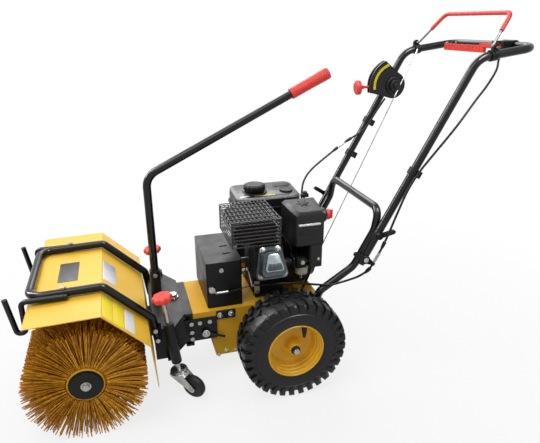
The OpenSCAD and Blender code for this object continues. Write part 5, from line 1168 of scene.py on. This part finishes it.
view = Vector((sin(YAW) * cos(PITCH), cos(YAW) * cos(PITCH), -sin(PITCH)))
view_right = view.cross(UP).normalized()
view_up = view_right.cross(view)
turned = Matrix((view_right, view_up, -view)).transposed() @ Matrix.Rotation(ROLL, 3, "Z")
camera = bpy.data.cameras.new("camera")
camera.lens = FOCAL_PIXELS / PHOTO_WIDTH * SENSOR
camera.sensor_width = SENSOR
camera.clip_start = CLIP_START
camera_object = bpy.data.objects.new("camera", camera)
camera_object.matrix_world = Matrix.Translation(CAMERA_AT) @ turned.to_4x4()
scene.collection.objects.link(camera_object)
scene.camera = camera_object


# World and floor: white to the eye and in mirrors, softer as light

SKY, SKY_STRENGTH = (0.94, 0.97, 1.0, 1.0), 0.36
FLOOR_RINGS, FLOOR_SIDES = (1.2, 2.4, 4.0, 7.0, 12.0), 48
FLOOR_DROP = 0.0005
FLOOR_LOOK = {"Base Color": (0.72, 0.72, 0.72, 1.0), "Roughness": 0.9, "Specular IOR Level": 0.0}
# The floor's own white: least share under the machine, full from the far radius
FLOOR_FADE = {"From Min": 0.5, "From Max": 1.8, "To Min": 0.8}


def seen_directly(tree):
    """1 for rays from the camera, by mirror or through glass, 0 for light that falls on things."""
    path = add_node(tree, "LightPath")
    seen = path.outputs["Is Camera Ray"]
    for ray in ("Is Glossy Ray", "Is Transmission Ray"):
        seen = add_node(tree, "Math", {0: seen, 1: path.outputs[ray]}, operation="MAXIMUM").outputs[0]
    return seen


def mix_shaders(tree, share, a, b, surface):
    """Shader a where share is 0, shader b where it is 1, into the surface socket."""
    pick = add_node(tree, "MixShader", {"Fac": share, 1: a.outputs[0], 2: b.outputs[0]})
    plug(tree, surface, pick.outputs[0])


def studio_world():
    world = bpy.data.worlds.new("studio")
    scene.world = world
    world.use_nodes = True
    tree = world.node_tree
    tree.nodes.clear()
    lit = add_node(tree, "Background", {"Color": SKY, "Strength": SKY_STRENGTH})
    shown = add_node(tree, "Background", {"Color": WHITE, "Strength": 1.0})
    surface = add_node(tree, "OutputWorld").inputs["Surface"]
    mix_shaders(tree, seen_directly(tree), lit, shown, surface)


def floor_material():
    """Pale and matt, fading to plain white away from the machine."""
    material = bpy.data.materials.new("floor_pale")
    material.use_nodes = True
    tree = material.node_tree
    pale = tree.nodes["Principled BSDF"]
    for name, value in FLOOR_LOOK.items():
        plug(tree, pale.inputs[name], value)
    glow = add_node(tree, "Emission", {"Color": WHITE})
    coord = add_node(tree, "TexCoord").outputs["Object"]
    away = add_node(tree, "VectorMath", {0: coord}, operation="LENGTH").outputs["Value"]
    fade = add_node(tree, "MapRange", {"Value": away, **FLOOR_FADE}, interpolation_type="SMOOTHSTEP")
    share = add_node(tree, "Math", {0: fade.outputs["Result"], 1: seen_directly(tree)}, operation="MULTIPLY")
    surface = tree.nodes["Material Output"].inputs["Surface"]
    mix_shaders(tree, share.outputs[0], pale, glow, surface)
    return material


def floor():
    n = FLOOR_SIDES
    turns = circle(BACK, RIGHT, n)
    verts = [Vector((0, 0, 0))] + [r * q for r in FLOOR_RINGS for q in turns]
    faces = [(0, 1 + k, 1 + (k + 1) % n) for k in range(n)]
    for i in range(len(FLOOR_RINGS) - 1):
        for k in range(n):
            a, b = 1 + i * n + k, 1 + i * n + (k + 1) % n
            faces.append((a, a + n, b + n, b))
    mesh = bpy.data.meshes.new("floor")
    mesh.from_pydata(verts, [], faces)
    mesh.materials.append(floor_material())
    o = bpy.data.objects.new("floor", mesh)
    o.location.z = -FLOOR_DROP
    scene.collection.objects.link(o)


studio_world()
floor()


# Lamps: three soft boxes, and two that only gloss shows, for the tubes and for bevelled edges


def area(name, at, target, size, power, width=0.0, along=BACK):
    """A round soft box or, with a width, a strip that lies along a direction."""
    lamp = bpy.data.lights.new(name, "AREA")
    lamp.shape = "RECTANGLE" if width else "DISK"
    lamp.size = size
    lamp.size_y = width or size
    lamp.energy = power
    back = (Vector(at) - Vector(target)).normalized()
    x = Vector(along) - back * back.dot(Vector(along))
    x.normalize()
    o = bpy.data.objects.new(name, lamp)
    o.matrix_world = Matrix.Translation(at) @ Matrix((x, back.cross(x), back)).transposed().to_4x4()
    scene.collection.objects.link(o)
    return o


area("key", at=(-1.4, -0.9, 3.2), target=(-0.1, 0, 0.3), size=2.4, power=60)
area("fill", at=(1.6, -2.4, 2.2), target=(0, 0, 0.4), size=1.8, power=5)
area("top", at=(0.2, 2.4, 2.9), target=(0, 0, 0.4), size=3.0, power=104)
tube_strip = area("tube_strip", at=(-2.11, 1.11, 2.08), target=(-0.05, 0.03, 0.19), size=1.9, power=120,
                  width=0.6, along=(0.57, 0, 0.82))
bevel_box = area("bevel_box", at=(0.8, -1.3, 2.9), target=(0, 0, 0.5), size=1.2, power=90)
for lamp in (tube_strip, bevel_box):
    lamp.visible_diffuse = False
